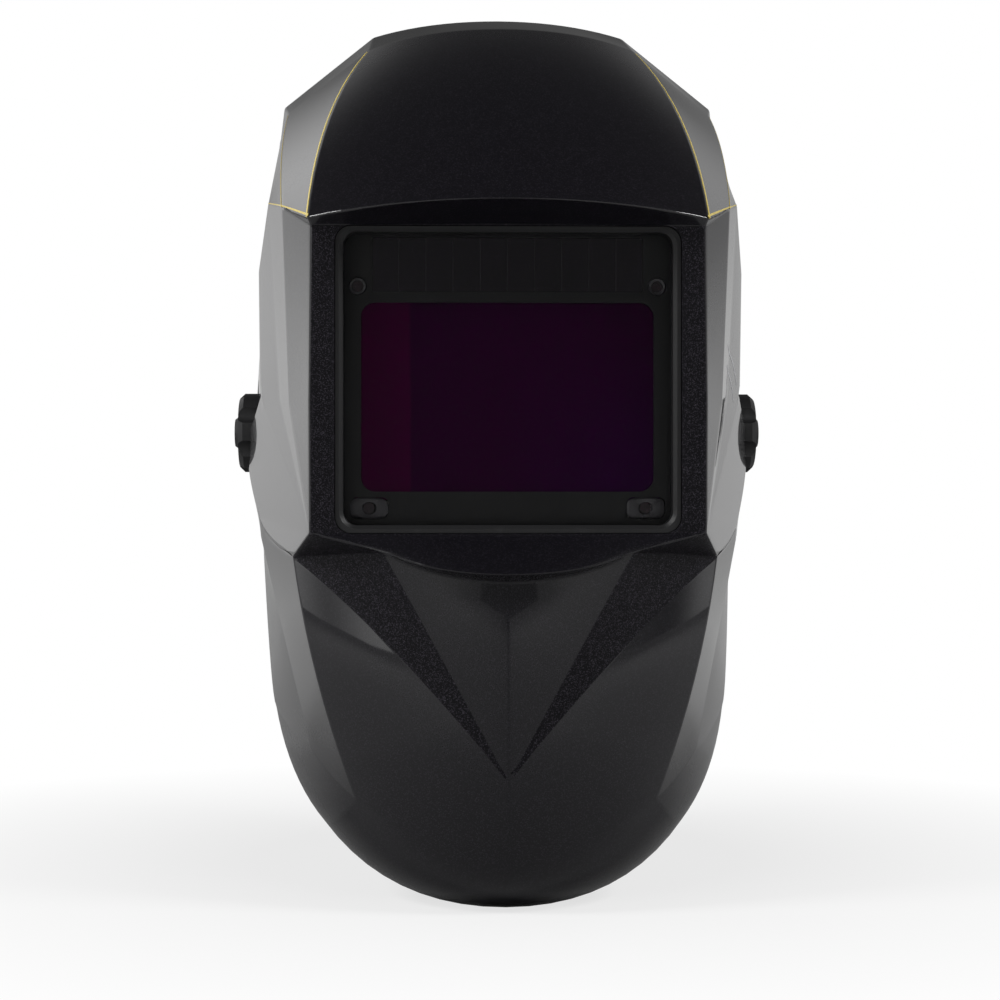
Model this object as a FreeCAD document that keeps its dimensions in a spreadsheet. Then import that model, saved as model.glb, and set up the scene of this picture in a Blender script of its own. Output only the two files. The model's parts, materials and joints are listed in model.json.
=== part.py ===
import FreeCAD, Part
import math
import os
import re
import Sketcher
from FreeCAD import Placement, Rotation, Vector

# Auto-darkening welding helmet, millimetres.
# Frame: +Z up, the visor faces -Y, +X is the wearer's left side. The origin is the midpoint of the
# pivot axis between the wearer's temples, which is where the head carries the helmet.

os.makedirs("parts", exist_ok=True)
doc = FreeCAD.newDocument("welding_helmet")

# ---------------------------------------------------------------- driving dimensions

DIMENSIONS = [
    # head and headband
    ("head_half_width", 77.2, "inner face of the headband at the sides"),
    ("band_front", 91.0, "headband's outer face at the forehead, ahead of the band's centre"),
    ("band_straight_front", 8.0, "where the straight side of the band begins, ahead of centre"),
    ("band_straight_rear", 30.0, "where the straight side of the band ends, behind centre"),
    ("band_thick", 1.6, "wall of headband and rear band"),
    ("band_low", 30.0, "lower edge of the headband"),
    ("band_high", 54.0, "upper edge of the headband"),
    ("band_tilt", 11.0, "how far the band dips towards the nape, degrees"),
    ("strap_height", 84.0, "crown strap above the middle of the band"),
    ("strap_thick", 1.4, "crown strap"),
    ("strap_width", 16.0, "crown strap"),
    ("pad_thick", 6.0, "sweatband and comfort pads"),
    ("run_gap", 0.3, "gap between pieces that slide past each other"),
    # pivot stack, counted outwards from the headband
    ("arm_offset", 3.3, "inner face of the side arm outside the headband's inner face"),
    ("arm_thick", 3.0, "side arm"),
    ("plate_thick", 3.0, "carriage plate"),
    ("disc_thick", 3.0, "tilt stop disc"),
    ("washer_room", 2.3, "room for the wave washer"),
    ("wall", 2.5, "helmet shell"),
    ("cap_washer", 1.0, "washer under the pivot knob"),
    ("knob_depth", 10.6, "pivot knob"),
    ("knob_radius", 16.0, "pivot knob"),
    ("dish_radius", 22.0, "round recess for the pivot knob"),
    ("dish_depth", 6.5, "widest point of the shell outside the recess floor"),
    ("shoulder_radius", 5.0, "bearing shoulder of the pivot bolt"),
    ("thread_radius", 3.0, "thread of the pivot bolt"),
    ("fit_gap", 0.05, "radial clearance of shafts in holes"),
    ("bush_wall", 3.0, "bearing bush in the shell"),
    ("slide_travel", 10.0, "fore and aft setting, each way"),
    ("stop_radius", 14.0, "stop peg from the pivot"),
    ("peg_radius", 2.5, "stop peg"),
    ("tilt_range", 75.0, "how far the visor lifts, degrees"),
    # shell
    ("crown_height", 167.1, "top of the shell above the pivot"),
    ("chin_drop", 173.4, "lowest rim of the shell below the pivot"),
    ("pivot_to_visor", 150.0, "visor face ahead of the pivot"),
    ("rear_depth", 62.0, "rear rim of the crown behind the pivot"),
    # lens cartridge
    ("lens_width", 133.0, "cover lens"),
    ("lens_height", 114.0, "cover lens"),
    ("lens_level", 18.1, "middle of the cover lens above the pivot"),
    ("lens_thick", 1.2, "cover lens"),
    ("lens_corner", 6.0, "corner radius of the cover lens"),
    ("upper_bar", 33.5, "cartridge above the viewing window"),
    ("lower_bar", 14.4, "cartridge below the viewing window"),
    ("side_bar", 15.3, "cartridge beside the viewing window"),
    ("collar_lip", 9.3, "cover lens hidden behind the collar at each side"),
    ("case_wall", 1.2, "cartridge cases"),
    ("holder_wall", 0.85, "lens holder round the cartridge"),
    ("front_case_depth", 5.0, "front half of the cartridge"),
    ("rear_case_depth", 6.0, "rear half of the cartridge"),
    ("cell_radius", 12.25, "coin cell"),
    ("cell_thick", 5.0, "coin cell"),
    ("dial_radius", 4.5, "sensitivity and delay dials"),
    ("shade_radius", 9.0, "shade dial"),
    # ratchet
    ("ratchet_radius", 16.0, "ratchet knob"),
    ("ratchet_travel", 8.0, "rear band setting, each way"),
    ("pinion_radius", 4.8, "tip of the ratchet pinion"),
]

sheet = doc.addObject("Spreadsheet::Sheet", "sizes")
SIZE = {}
for row, (word, number, meaning) in enumerate(DIMENSIONS, start=1):
    sheet.set(f"A{row}", word)
    sheet.set(f"B{row}", str(number))
    sheet.set(f"C{row}", meaning)
    sheet.setAlias(f"B{row}", word)
    SIZE[word] = number

# Sizes worked out from the driving ones, as formulas in the sheet.
FORMULAS = [
    ("head_outer", "head_half_width + band_thick"),
    ("band_mid", "(band_low + band_high) / 2"),
    ("arm_in", "head_half_width + arm_offset"),
    ("plate_in", "arm_in + arm_thick + run_gap"),
    ("disc_in", "plate_in + plate_thick + 0.2"),
    ("washer_in", "disc_in + disc_thick"),
    ("boss_in", "washer_in + washer_room + 0.2"),
    ("dish_floor", "boss_in + wall"),
    ("cap_in", "dish_floor + 0.2"),
    ("knob_in", "cap_in + cap_washer"),
    ("shell_half", "dish_floor + dish_depth"),
    ("bush_radius", "shoulder_radius + fit_gap + bush_wall"),
    ("visor_face", "0 - pivot_to_visor"),
    ("holder_width", "lens_width + run_gap"),
    ("holder_height", "lens_height + run_gap"),
    ("holder_flange", "visor_face + 7"),
    ("lens_face", "visor_face + 9"),
    ("case_face", "lens_face + lens_thick + 0.8"),
    ("case_split", "case_face + front_case_depth"),
    ("case_back", "case_split + rear_case_depth"),
    ("case_width", "lens_width - 0.4"),
    ("case_height", "lens_height - 0.4"),
    ("window_width", "lens_width - 2 * side_bar"),
    ("window_height", "lens_height - upper_bar - lower_bar"),
    ("window_level", "lens_level - (upper_bar - lower_bar) / 2"),
    ("collar_width", "lens_width - 2 * collar_lip"),
    ("collar_height", "lens_height - 12.4"),
    ("collar_level", "lens_level - 3.5"),
    ("glass_width", "window_width + 5.6"),
    ("glass_height", "window_height + 5.9"),
    ("rear_radius", "head_half_width - run_gap - band_thick / 2"),
    ("rear_outer", "rear_radius + band_thick / 2"),
    ("housing_back", "band_straight_rear + rear_outer + 8.1"),
]
first_formula = len(DIMENSIONS) + 2
for row, (word, formula) in enumerate(FORMULAS, start=first_formula):
    sheet.set(f"A{row}", word)
    sheet.set(f"B{row}", "=" + formula)
    sheet.setAlias(f"B{row}", word)
doc.recompute()
for word, formula in FORMULAS:
    SIZE[word] = float(sheet.get(word))

# ---------------------------------------------------------------- drawing helpers

SUBPARTS = []


def linked(formula):
    """The formula with every sheet name written as sizes.name, as other objects read it."""
    return re.sub(r"[A-Za-z_]\w*", lambda m: "sizes." + m.group() if m.group() in SIZE else m.group(),
                  str(formula))


def value(formula):
    """The number that a formula of sheet names gives."""
    return float(sheet.evalExpression(linked(formula)))


def bind(target, prop, formula):
    target.setExpression(prop, linked(formula))


def place(target, x=0, y=0, z=0):
    for axis, formula in zip("xyz", (x, y, z)):
        bind(target, f"Placement.Base.{axis}", formula)


def body(label, x=0, y=0, z=0):
    """A PartDesign body that becomes one node, standing at a point given by formulas."""
    made = doc.addObject("PartDesign::Body", label)
    made.Label = label
    place(made, x, y, z)
    SUBPARTS.append(made)
    return made


def tilt_with_band(made):
    """Lean a piece of the headband with the band, about the pivot axis."""
    lean = Rotation(Vector(1, 0, 0), -SIZE["band_tilt"])
    made.Placement = Placement(lean.multVec(made.Placement.Base), lean * made.Placement.Rotation)


def sketch_on(owner, plane, offset=0):
    flat = owner.newObject("Sketcher::SketchObject", "outline")
    origin = [f for f in owner.Origin.OriginFeatures if f.Role == plane][0]
    flat.AttachmentSupport = (origin, "")
    flat.MapMode = "FlatFace"
    if offset:
        bind(flat, "AttachmentOffset.Base.z", offset)
    return flat


def pin_point(flat, geometry, end, u, v):
    """Hold one end or centre of a line, arc or circle at two formulas."""
    for kind, formula in (("DistanceX", u), ("DistanceY", v)):
        index = flat.addConstraint(Sketcher.Constraint(kind, -1, 1, geometry, end, value(formula)))
        bind(flat, f"Constraints[{index}]", formula)


def draw_loop(flat, points):
    """A closed outline of straight lines through points given by formulas."""
    spots = [Vector(value(u), value(v), 0) for u, v in points]
    first = flat.GeometryCount
    for i, spot in enumerate(spots):
        flat.addGeometry(Part.LineSegment(spot, spots[(i + 1) % len(spots)]), False)
    for i in range(len(spots)):
        flat.addConstraint(Sketcher.Constraint("Coincident", first + i, 2,
                                               first + (i + 1) % len(spots), 1))
    for i, (u, v) in enumerate(points):
        pin_point(flat, first + i, 1, u, v)


def draw_rectangle(flat, width, height, u=0, v=0):
    left, right = f"({u}) - ({width}) / 2", f"({u}) + ({width}) / 2"
    low, high = f"({v}) - ({height}) / 2", f"({v}) + ({height}) / 2"
    draw_loop(flat, [(left, low), (right, low), (right, high), (left, high)])


def draw_rounded(flat, width, height, radius, u=0, v=0):
    """A rectangle with round corners, about a middle given by formulas."""
    half_w, half_h, corner = value(width) / 2, value(height) / 2, value(radius)
    middle = Vector(value(u), value(v), 0)
    first = flat.GeometryCount
    starts = []
    for quarter, (sign_u, sign_v) in enumerate(((1, 1), (-1, 1), (-1, -1), (1, -1))):
        centre = middle + Vector(sign_u * (half_w - corner), sign_v * (half_h - corner), 0)
        circle = Part.Circle(centre, Vector(0, 0, 1), corner)
        turn = quarter * math.pi / 2
        flat.addGeometry(Part.ArcOfCircle(circle, turn, turn + math.pi / 2), False)
        starts.append(centre)
    for quarter, (sign_u, sign_v) in enumerate(((1, 1), (-1, 1), (-1, -1), (1, -1))):
        turn = quarter * math.pi / 2
        begin = starts[quarter] + Vector(-math.sin(turn), math.cos(turn), 0) * corner
        end = starts[(quarter + 1) % 4] + Vector(-math.sin(turn), math.cos(turn), 0) * corner
        flat.addGeometry(Part.LineSegment(begin, end), False)
    edges_u = [f"({u}) + ({s}) * (({width}) / 2 - ({radius}))" for s in (1, -1, -1, 1)]
    edges_v = [f"({v}) + ({s}) * (({height}) / 2 - ({radius}))" for s in (1, 1, -1, -1)]
    sides = [(edges_u, f"({v}) + ({height}) / 2", True), (edges_v, f"({u}) - ({width}) / 2", False),
             (edges_u, f"({v}) - ({height}) / 2", True), (edges_v, f"({u}) + ({width}) / 2", False)]
    for quarter, (along, across, level) in enumerate(sides):
        following = (quarter + 1) % 4
        line = first + 4 + quarter
        for end, corner_index in ((1, quarter), (2, following)):
            if level:
                pin_point(flat, line, end, along[corner_index], across)
            else:
                pin_point(flat, line, end, across, along[corner_index])
        flat.addConstraint(Sketcher.Constraint("Coincident", first + quarter, 2, line, 1))
        flat.addConstraint(Sketcher.Constraint("Coincident", line, 2, first + following, 1))
    for quarter in range(4):
        size = flat.addConstraint(Sketcher.Constraint("Radius", first + quarter, value(radius)))
        bind(flat, f"Constraints[{size}]", radius)


def draw_circle(flat, radius, u=0, v=0):
    spot = Vector(value(u), value(v), 0)
    index = flat.addGeometry(Part.Circle(spot, Vector(0, 0, 1), value(radius)), False)
    size = flat.addConstraint(Sketcher.Constraint("Radius", index, value(radius)))
    bind(flat, f"Constraints[{size}]", radius)
    pin_point(flat, index, 3, u, v)


def extrude(owner, kind, flat, depth, forward):
    """Pad or pocket a sketch; forward means along its own normal."""
    made = owner.newObject(kind, kind.split("::")[1])
    made.Profile = flat
    bind(made, "Length", depth)
    outward = kind == "PartDesign::Pad"
    made.Reversed = forward != outward
    doc.recompute()
    return made


def pad(owner, flat, depth, forward=True):
    return extrude(owner, "PartDesign::Pad", flat, depth, forward)


def pocket(owner, flat, depth, forward=True):
    before = owner.Shape.Volume
    made = extrude(owner, "PartDesign::Pocket", flat, depth, forward)
    if owner.Shape.Volume > before - 1e-6:
        raise RuntimeError(f"a cut in {owner.Label} removes nothing")
    return made


def revolve(owner, points, axis, level=0):
    """Turn an outline once round the horizontal or vertical axis of a level sketch."""
    flat = sketch_on(owner, "XY_Plane", level)
    draw_loop(flat, points)
    made = owner.newObject("PartDesign::Revolution", "Revolution")
    made.Profile = flat
    made.ReferenceAxis = (flat, [axis])
    made.Angle = 360.0
    doc.recompute()
    return made


def round_edges(owner, radius, direction, keep=lambda edge: True):
    """Fillet the straight edges that run along one direction."""
    names = []
    for i, edge in enumerate(owner.Shape.Edges, start=1):
        straight = edge.Curve.TypeId == "Part::GeomLine"
        if straight and abs(abs(edge.tangentAt(edge.FirstParameter).dot(direction)) - 1) < 1e-6:
            if keep(edge):
                names.append(f"Edge{i}")
    base = owner.Tip
    made = owner.newObject("PartDesign::Fillet", "Fillet")
    made.Base = (base, names)
    bind(made, "Radius", radius)
    owner.Tip = made
    doc.recompute()
    return made


def repeat_round(owner, feature, flat, count):
    """Repeat a feature evenly round the normal of its sketch."""
    made = owner.newObject("PartDesign::PolarPattern", "PolarPattern")
    made.Originals = [feature]
    made.Axis = (flat, ["N_Axis"])
    made.Angle = 360.0
    made.Occurrences = count
    owner.Tip = made
    doc.recompute()
    return made


def shape_node(label, shape, tilted=False):
    """A node whose outline is neither sketched nor turned: its shape is made directly."""
    made = doc.addObject("Part::Feature", label)
    made.Label = label
    made.Shape = shape
    if tilted:
        tilt_with_band(made)
    SUBPARTS.append(made)
    return made


def mirrored(shape):
    return shape.mirror(Vector(0, 0, 0), Vector(1, 0, 0))


def add_rounded(owner, plane, width, height, depth, radius, u=0, v=0, start=0, forward=True):
    flat = sketch_on(owner, plane, start)
    draw_rounded(flat, width, height, radius, u, v)
    return pad(owner, flat, depth, forward)


def cut_rounded(owner, plane, width, height, depth, radius, u=0, v=0, start=0, forward=True):
    flat = sketch_on(owner, plane, start)
    draw_rounded(flat, width, height, radius, u, v)
    return pocket(owner, flat, depth, forward)


def add_rectangle(owner, plane, width, height, depth, u=0, v=0, start=0, forward=True):
    flat = sketch_on(owner, plane, start)
    draw_rectangle(flat, width, height, u, v)
    return pad(owner, flat, depth, forward)


def cut_rectangle(owner, plane, width, height, depth, u=0, v=0, start=0, forward=True):
    flat = sketch_on(owner, plane, start)
    draw_rectangle(flat, width, height, u, v)
    return pocket(owner, flat, depth, forward)


def add_circle(owner, plane, radius, depth, u=0, v=0, start=0, forward=True):
    flat = sketch_on(owner, plane, start)
    draw_circle(flat, radius, u, v)
    return pad(owner, flat, depth, forward)


def cut_circle(owner, plane, radius, depth, u=0, v=0, start=0, forward=True):
    flat = sketch_on(owner, plane, start)
    draw_circle(flat, radius, u, v)
    return pocket(owner, flat, depth, forward)


SIDES = (("left", 1), ("right", -1))

# ---------------------------------------------------------------- helmet shell

# Corners of the faceted left half, drawn for a shell 203 wide over the ears. fit() then stretches
# them to the sheet's sizes. Each facet is a patch between named corners.
CORNERS = {
    "crown_mid": (0, -8, 167.1), "crown_bend": (50.3, -8, 160.2), "crown_side": (86.3, -8, 131.4),
    "brow_top_mid": (0, -72, 150.9), "brow_top": (50.6, -64, 144.1),
    "brow_mid": (0, -166, 74.7), "brow_end": (69.1, -152, 69.6),
    "cheek_top": (83.3, -32, 125.0), "cheek_low": (79.7, -126, 76.3),
    "temple": (87.2, -88, 82.2), "temple_top": (88.5, 0, 118.8),
    "visor_top_mid": (0, -150, 67.8), "visor_top": (68.1, -150, 67.1),
    "visor_side_mid": (0, -150, 7.1), "visor_side": (68.8, -150, 7.1),
    "visor_low_mid": (0, -150, -39.5), "visor_low": (68.6, -150, -39.1),
    "fold_front": (77.4, -122, 6.9), "fold_middle": (82.8, -92, 9.6), "fold_rear": (92.9, -52, 12.1),
    "flank_top": (93.2, -55, 60.6), "ear": (101.5, -10, -3.1), "ear_low": (94.3, -38, -33.3),
    "jaw": (76.2, -118, -47.7), "jaw_rear": (93.8, -35, -42.4), "rear_jaw": (98, 22, -28),
    "lip_mid": (0, -165, -52.8), "lip": (43, -152, -45.5),
    "chin_top": (0, -156, -55.5), "tip": (0, -152, -124.1),
    "chin_mid": (0, -144, -149), "chin_side": (53.2, -128, -133.7), "crease_end": (70.9, -98, -118.5),
    "rim_side": (87.9, -40, -107), "rim_low": (66.3, -90, -146), "rim_mid": (0, -120, -173.4),
    "rear_mid": (0, 62, 158.6), "rear_bend": (50, 60, 150.6), "rear_side": (87, 54, 120.6),
    "rear_temple": (98, 45, 72.6), "rear_ear": (101, 35, 12.6),
}

FACETS = [
    ("brow_top_mid", "brow_top", "brow_end", "brow_mid"),
    ("crown_mid", "crown_bend", "brow_top", "brow_top_mid"),
    ("brow_top", "cheek_top", "cheek_low", "brow_end"),
    ("crown_bend", "crown_side", "cheek_top", "brow_top"),
    ("cheek_top", "temple_top", "temple", "cheek_low"),
    ("crown_side", "temple_top", "cheek_top"),
    ("rear_mid", "rear_bend", "crown_bend", "crown_mid"),
    ("rear_bend", "rear_side", "crown_side", "crown_bend"),
    ("rear_side", "rear_temple", "temple_top", "crown_side"),
    ("temple_top", "rear_temple", "flank_top", "temple"),
    ("brow_mid", "brow_end", "visor_top", "visor_top_mid"),
    ("visor_top_mid", "visor_top", "visor_side", "visor_side_mid"),
    ("visor_side_mid", "visor_side", "visor_low", "visor_low_mid"),
    ("visor_top", "brow_end", "cheek_low"),
    ("visor_top", "cheek_low", "fold_front", "visor_side"),
    ("visor_side", "fold_front", "visor_low"),
    ("cheek_low", "temple", "fold_middle", "fold_front"),
    ("fold_front", "fold_middle", "visor_low"),
    ("temple", "flank_top", "fold_rear", "fold_middle"),
    ("fold_middle", "fold_rear", "visor_low"),
    ("flank_top", "rear_temple", "rear_ear", "fold_rear"),
    ("fold_rear", "rear_ear", "rear_jaw", "ear"),
    ("fold_rear", "ear", "ear_low", "visor_low"),
    ("visor_low", "ear_low", "jaw"),
    ("ear", "rear_jaw", "jaw_rear", "ear_low"),
    ("ear_low", "jaw_rear", "jaw"),
    ("jaw_rear", "rear_jaw", "rim_side", "crease_end"),
    ("jaw", "jaw_rear", "crease_end", "chin_side"),
    ("tip", "jaw", "chin_side", "chin_mid"),
    ("chin_side", "crease_end", "rim_side", "rim_low"),
    ("chin_mid", "chin_side", "rim_low", "rim_mid"),
    ("lip", "jaw", "tip"),
    ("visor_low", "jaw", "lip"),
    ("visor_low_mid", "visor_low", "lip", "lip_mid"),
    ("lip_mid", "lip", "chin_top"),
    ("chin_top", "lip", "tip"),
]

# How far the middle of a crease's control line stands off the straight line between its corners.
BULGES = {
    ("brow_mid", "brow_end"): (3.5, -7, 2.5), ("brow_top_mid", "brow_top"): (4.7, -4, 3.4),
    ("crown_mid", "crown_bend"): (3, 0, 3.4), ("rear_mid", "rear_bend"): (3, 1, 4),
    ("brow_top_mid", "brow_mid"): (0, -12, 12), ("brow_top", "brow_end"): (7, -9, 7),
    ("cheek_top", "cheek_low"): (2, -5, 4), ("rear_mid", "crown_mid"): (0, 0, 5),
    ("rear_bend", "crown_bend"): (0, 0, 5), ("rear_side", "crown_side"): (1, 0, 4),
    ("lip_mid", "lip"): (5, -6, -3.6), ("chin_top", "lip"): (4, -2, -4.5),
    ("ear", "ear_low"): (3.4, 12, 0), ("ear_low", "jaw"): (6, 26, -2),
    ("jaw", "tip"): (4.4, -18, 14.2), ("lip", "tip"): (0, -2, 1), ("chin_top", "tip"): (0, -4, 0),
    ("tip", "chin_mid"): (0, -3, -1), ("chin_mid", "rim_mid"): (0, -8, -5),
    ("chin_side", "rim_low"): (3, -4, -6), ("crease_end", "rim_side"): (1, 0, -3),
    ("chin_mid", "chin_side"): (3.4, -8, -7.6), ("chin_side", "crease_end"): (1.5, -3, -1),
    ("rim_mid", "rim_low"): (9, -15, -13.7), ("rim_low", "rim_side"): (4, -6, -5.6),
    ("jaw", "chin_side"): (5, -7, 0), ("rim_side", "rear_jaw"): (-2.7, -26, -37.4),
}


def stretch(number, stations):
    """Move a nominal coordinate between stations given as (nominal, wanted) pairs."""
    (low, low_to), (high, high_to) = stations[0], stations[-1]
    if number <= low:
        return low_to + number - low
    if number >= high:
        return high_to + number - high
    for (a, a_to), (b, b_to) in zip(stations, stations[1:]):
        if number <= b:
            return a_to + (number - a) * (b_to - a_to) / (b - a)


def fit(corner):
    x, y, z = corner
    visor_half = value("lens_width / 2 + 2.1")
    visor_top = value("collar_level + collar_height / 2 + 2.4")
    visor_low = value("collar_level - collar_height / 2 - 2.9")
    return Vector(
        stretch(x, [(0, 0), (68.6, visor_half), (101.5, SIZE["shell_half"])]),
        stretch(y, [(-150, SIZE["visor_face"]), (0, 0), (62, SIZE["rear_depth"])]),
        stretch(z, [(-173.4, -SIZE["chin_drop"]), (-39.1, visor_low), (0, 0), (67.8, visor_top),
                    (167.1, SIZE["crown_height"])]))


class ShellSkin:
    """The facets as curved patches, outside and again one wall further in."""

    def __init__(self):
        self.outer = {name: fit(corner) for name, corner in CORNERS.items()}
        self.bulge = {tuple(sorted(pair)): Vector(*by) for pair, by in BULGES.items()}
        self.uses = {}
        self.normals = {}
        for facet in FACETS:
            self.note_normals(facet)
        self.outer_mid = {pair: self.middle(pair) for pair in self.uses}
        self.inner = {name: spot + self.inset(name, abs(spot.x) < 1e-9)
                      for name, spot in self.outer.items()}
        self.inner_mid = {pair: self.outer_mid[pair] + self.inset(pair, self.on_centre(pair))
                          for pair in self.uses}

    def middle(self, pair):
        a, b = (self.outer[name] for name in pair)
        return (a + b) * 0.5 + self.bulge.get(tuple(sorted(pair)), Vector(0, 0, 0))

    def on_centre(self, pair):
        return all(abs(self.outer[name].x) < 1e-9 for name in pair)

    def note_normals(self, facet):
        """Each corner and crease collects the outward normal of every facet that meets there."""
        spots = [self.outer[name] for name in facet]
        count = len(facet)
        pairs = [tuple(sorted((facet[i], facet[(i + 1) % count]))) for i in range(count)]
        mids = [self.middle(pair) for pair in pairs]
        centre = sum(spots, Vector(0, 0, 0)) * (1 / count)
        corner_normals = [(mids[i] - spots[i]).cross(mids[i - 1] - spots[i]) for i in range(count)]
        facing = sum(corner_normals, Vector(0, 0, 0))
        outward = 1 if facing.dot(centre - Vector(0, 0, centre.z * 0.6)) > 0 else -1
        for i, pair in enumerate(pairs):
            crease = (spots[(i + 1) % count] - spots[i]).cross(centre - mids[i])
            crease = crease * (outward if crease.dot(facing) > 0 else -outward)
            corner = corner_normals[i] * outward
            self.normals.setdefault(facet[i], []).append(corner.normalize())
            self.normals.setdefault(pair, []).append(crease.normalize())
            self.uses[pair] = self.uses.get(pair, 0) + 1

    def inset(self, name, central):
        """The step inwards that leaves one wall under every facet meeting at a corner or crease."""
        found = list(self.normals[name])
        if central:
            found += [Vector(-n.x, n.y, n.z) for n in found]
        mean = sum(found, Vector(0, 0, 0)) * (1 / len(found))
        return mean * (-SIZE["wall"] / max(mean.dot(mean), 0.35))

    def patch(self, facet, corners, middles):
        count = len(facet)
        spots = [corners[name] for name in facet]
        mids = [middles[tuple(sorted((facet[i], facet[(i + 1) % count])))] for i in range(count)]
        if count == 3:
            straight = all((mids[i] - (spots[i] + spots[(i + 1) % 3]) * 0.5).Length < 1e-6
                           for i in range(3))
            if straight:
                return Part.Face(Part.makePolygon(spots + spots[:1]))
            spots = spots + [spots[2]]
            mids = [mids[0], mids[1], spots[2], mids[2]]
        a, b, c, d = spots
        ab, bc, cd, da = mids
        centre = (ab + cd + bc + da) * 0.5 - (a + b + c + d) * 0.25
        surface = Part.BezierSurface()
        surface.increase(2, 2)
        for i, poles in enumerate(((a, da, d), (ab, centre, cd), (b, bc, c)), start=1):
            for j, pole in enumerate(poles, start=1):
                surface.setPole(i, j, pole)
        return surface.toShape()

    def crease(self, pair, corners, middles):
        curve = Part.BezierCurve()
        curve.setPoles([corners[pair[0]], middles[pair], corners[pair[1]]])
        return curve.toShape()

    def outer_patch(self, facet):
        return self.patch(facet, self.outer, self.outer_mid)

    def solid(self):
        faces = [self.outer_patch(facet) for facet in FACETS]
        faces += [self.patch(facet, self.inner, self.inner_mid) for facet in FACETS]
        for pair, count in self.uses.items():
            if count == 1 and not self.on_centre(pair):
                faces.append(Part.makeRuledSurface(self.crease(pair, self.outer, self.outer_mid),
                                                   self.crease(pair, self.inner, self.inner_mid)))
        whole = Part.makeCompound(faces + [mirrored(face) for face in faces])
        whole.sewShape()
        closed = Part.Solid(whole.Shells[0])
        if closed.Volume < 0:
            closed.reverse()
        return closed


def along_x(radius, start, end, y=0, z=0):
    """A cylinder along X between two places."""
    return Part.makeCylinder(radius, end - start, Vector(start, y, z), Vector(1, 0, 0))


PEG_ANGLE = 200


def peg_spot(turn=0):
    """Middle of the stop peg in the YZ plane when the visor is lifted by turn degrees."""
    angle = math.radians(PEG_ANGLE - turn)
    return SIZE["stop_radius"] * math.cos(angle), SIZE["stop_radius"] * math.sin(angle)


def rounded_window(width, height, corner, depth, x, y, z):
    """A block with round corners along Y, about a middle at x, z and starting at y."""
    block = Part.makeBox(width, depth, height, Vector(x - width / 2, y, z - height / 2))
    upright = [e for e in block.Edges if abs(e.tangentAt(e.FirstParameter).y) > 0.99]
    return block.makeFillet(corner, upright)


def make_shell():
    skin = ShellSkin()
    shell = skin.solid()
    near_pivot = [f for f in FACETS if {"fold_rear", "ear"} & set(f)]
    floor, inside = SIZE["dish_floor"], SIZE["boss_in"]
    dish, wall = SIZE["dish_radius"], SIZE["wall"]
    backed = along_x(dish + wall, inside, SIZE["shell_half"] + wall)
    boss = along_x(dish + wall, inside, floor)
    for facet in near_pivot:
        under = skin.outer_patch(facet)
        under.translate(Vector(-wall * 0.4, 0, 0))
        prism = under.extrude(Vector(-dish, 0, 0))
        boss = boss.fuse(backed.common(prism))
    y, z = peg_spot()
    hollow = along_x(dish, floor, SIZE["shell_half"] + dish)
    bore = along_x(SIZE["bush_radius"], inside - wall, floor + wall)
    peg_hole = along_x(SIZE["peg_radius"], inside - wall, inside + 1.5, y, z)
    for tool in (boss, mirrored(boss)):
        shell = shell.fuse(tool)
    for tool in (hollow, bore, peg_hole):
        shell = shell.cut(tool).cut(mirrored(tool))
    window = rounded_window(value("collar_width + 5.6"), value("collar_height + 4.8"), 5.8, 6,
                            0, value("visor_face - 1"), value("collar_level - 0.4"))
    shell = shell.cut(window)
    return shape_node("helmet_shell", shell)


def make_stop_pegs():
    y, z = peg_spot()
    start = value("disc_in + 1.5")
    peg = along_x(SIZE["peg_radius"], start, value("boss_in + 1.5"), y, z)
    return shape_node("tilt_stop_pegs", Part.makeCompound([peg, mirrored(peg)]))


# ---------------------------------------------------------------- lens cartridge

FRONT = "XZ_Plane"


def make_holder():
    """The frame behind the window: collar, flange and the pocket that takes the cartridge."""
    holder = body("adf_holder", 0, "holder_flange", 0)
    outer_width = "holder_width + 2 * holder_wall"
    outer_height = "holder_height + 2 * holder_wall"
    add_rounded(holder, FRONT, f"{outer_width} - 1.5", f"{outer_height} - 1.5", 2,
                "lens_corner + 1.4", 0, "lens_level", 0, False)
    add_rounded(holder, FRONT, outer_width, outer_height, 19.1, "lens_corner + 1.4",
                0, "lens_level", -1.4, False)
    add_rounded(holder, FRONT, "collar_width + 5.2", "collar_height + 4.4", 6, 5.6,
                0, "collar_level - 0.4", 0, True)
    cut_rounded(holder, FRONT, "holder_width", "holder_height", 18.5, "lens_corner + 0.5",
                0, "lens_level", -2, False)
    cut_rounded(holder, FRONT, "collar_width", "collar_height", 10, 5,
                0, "collar_level", 6.5, False)
    for side, sign in SIDES:
        cut_rectangle(holder, "YZ_Plane", 2.6, 11, "3 * holder_wall", "18.6", "lens_level - 6",
                      f"{sign} * (holder_width / 2 - holder_wall)", sign > 0)
    bevel_edges(holder, 1.3, "collar_width + 0.2", "collar_height + 0.2", "collar_level",
                "holder_flange - 6")


def bevel_edges(owner, size, width, height, level, depth):
    """Bevel the edges of a front face that lie inside a rectangle drawn on it."""
    half, middle, reach = value(width) / 2, value(level), value(height) / 2
    names = []
    for i, edge in enumerate(owner.Shape.Edges, start=1):
        box = edge.BoundBox
        if max(abs(box.YMin - value(depth)), abs(box.YMax - value(depth))) > 1e-3:
            continue
        if max(box.XMax, -box.XMin) < half and max(box.ZMax - middle, middle - box.ZMin) < reach:
            names.append(f"Edge{i}")
    base = owner.Tip
    bevel = owner.newObject("PartDesign::Chamfer", "Chamfer")
    bevel.Base = (base, names)
    bevel.Size = size
    owner.Tip = bevel
    doc.recompute()


def make_plate(label, depth_in, width, height, thick, corner, level="lens_level"):
    """A flat rounded plate whose front face lies at depth_in."""
    plate = body(label, 0, depth_in, 0)
    add_rounded(plate, FRONT, width, height, thick, corner, 0, level, 0, False)
    return plate


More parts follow.
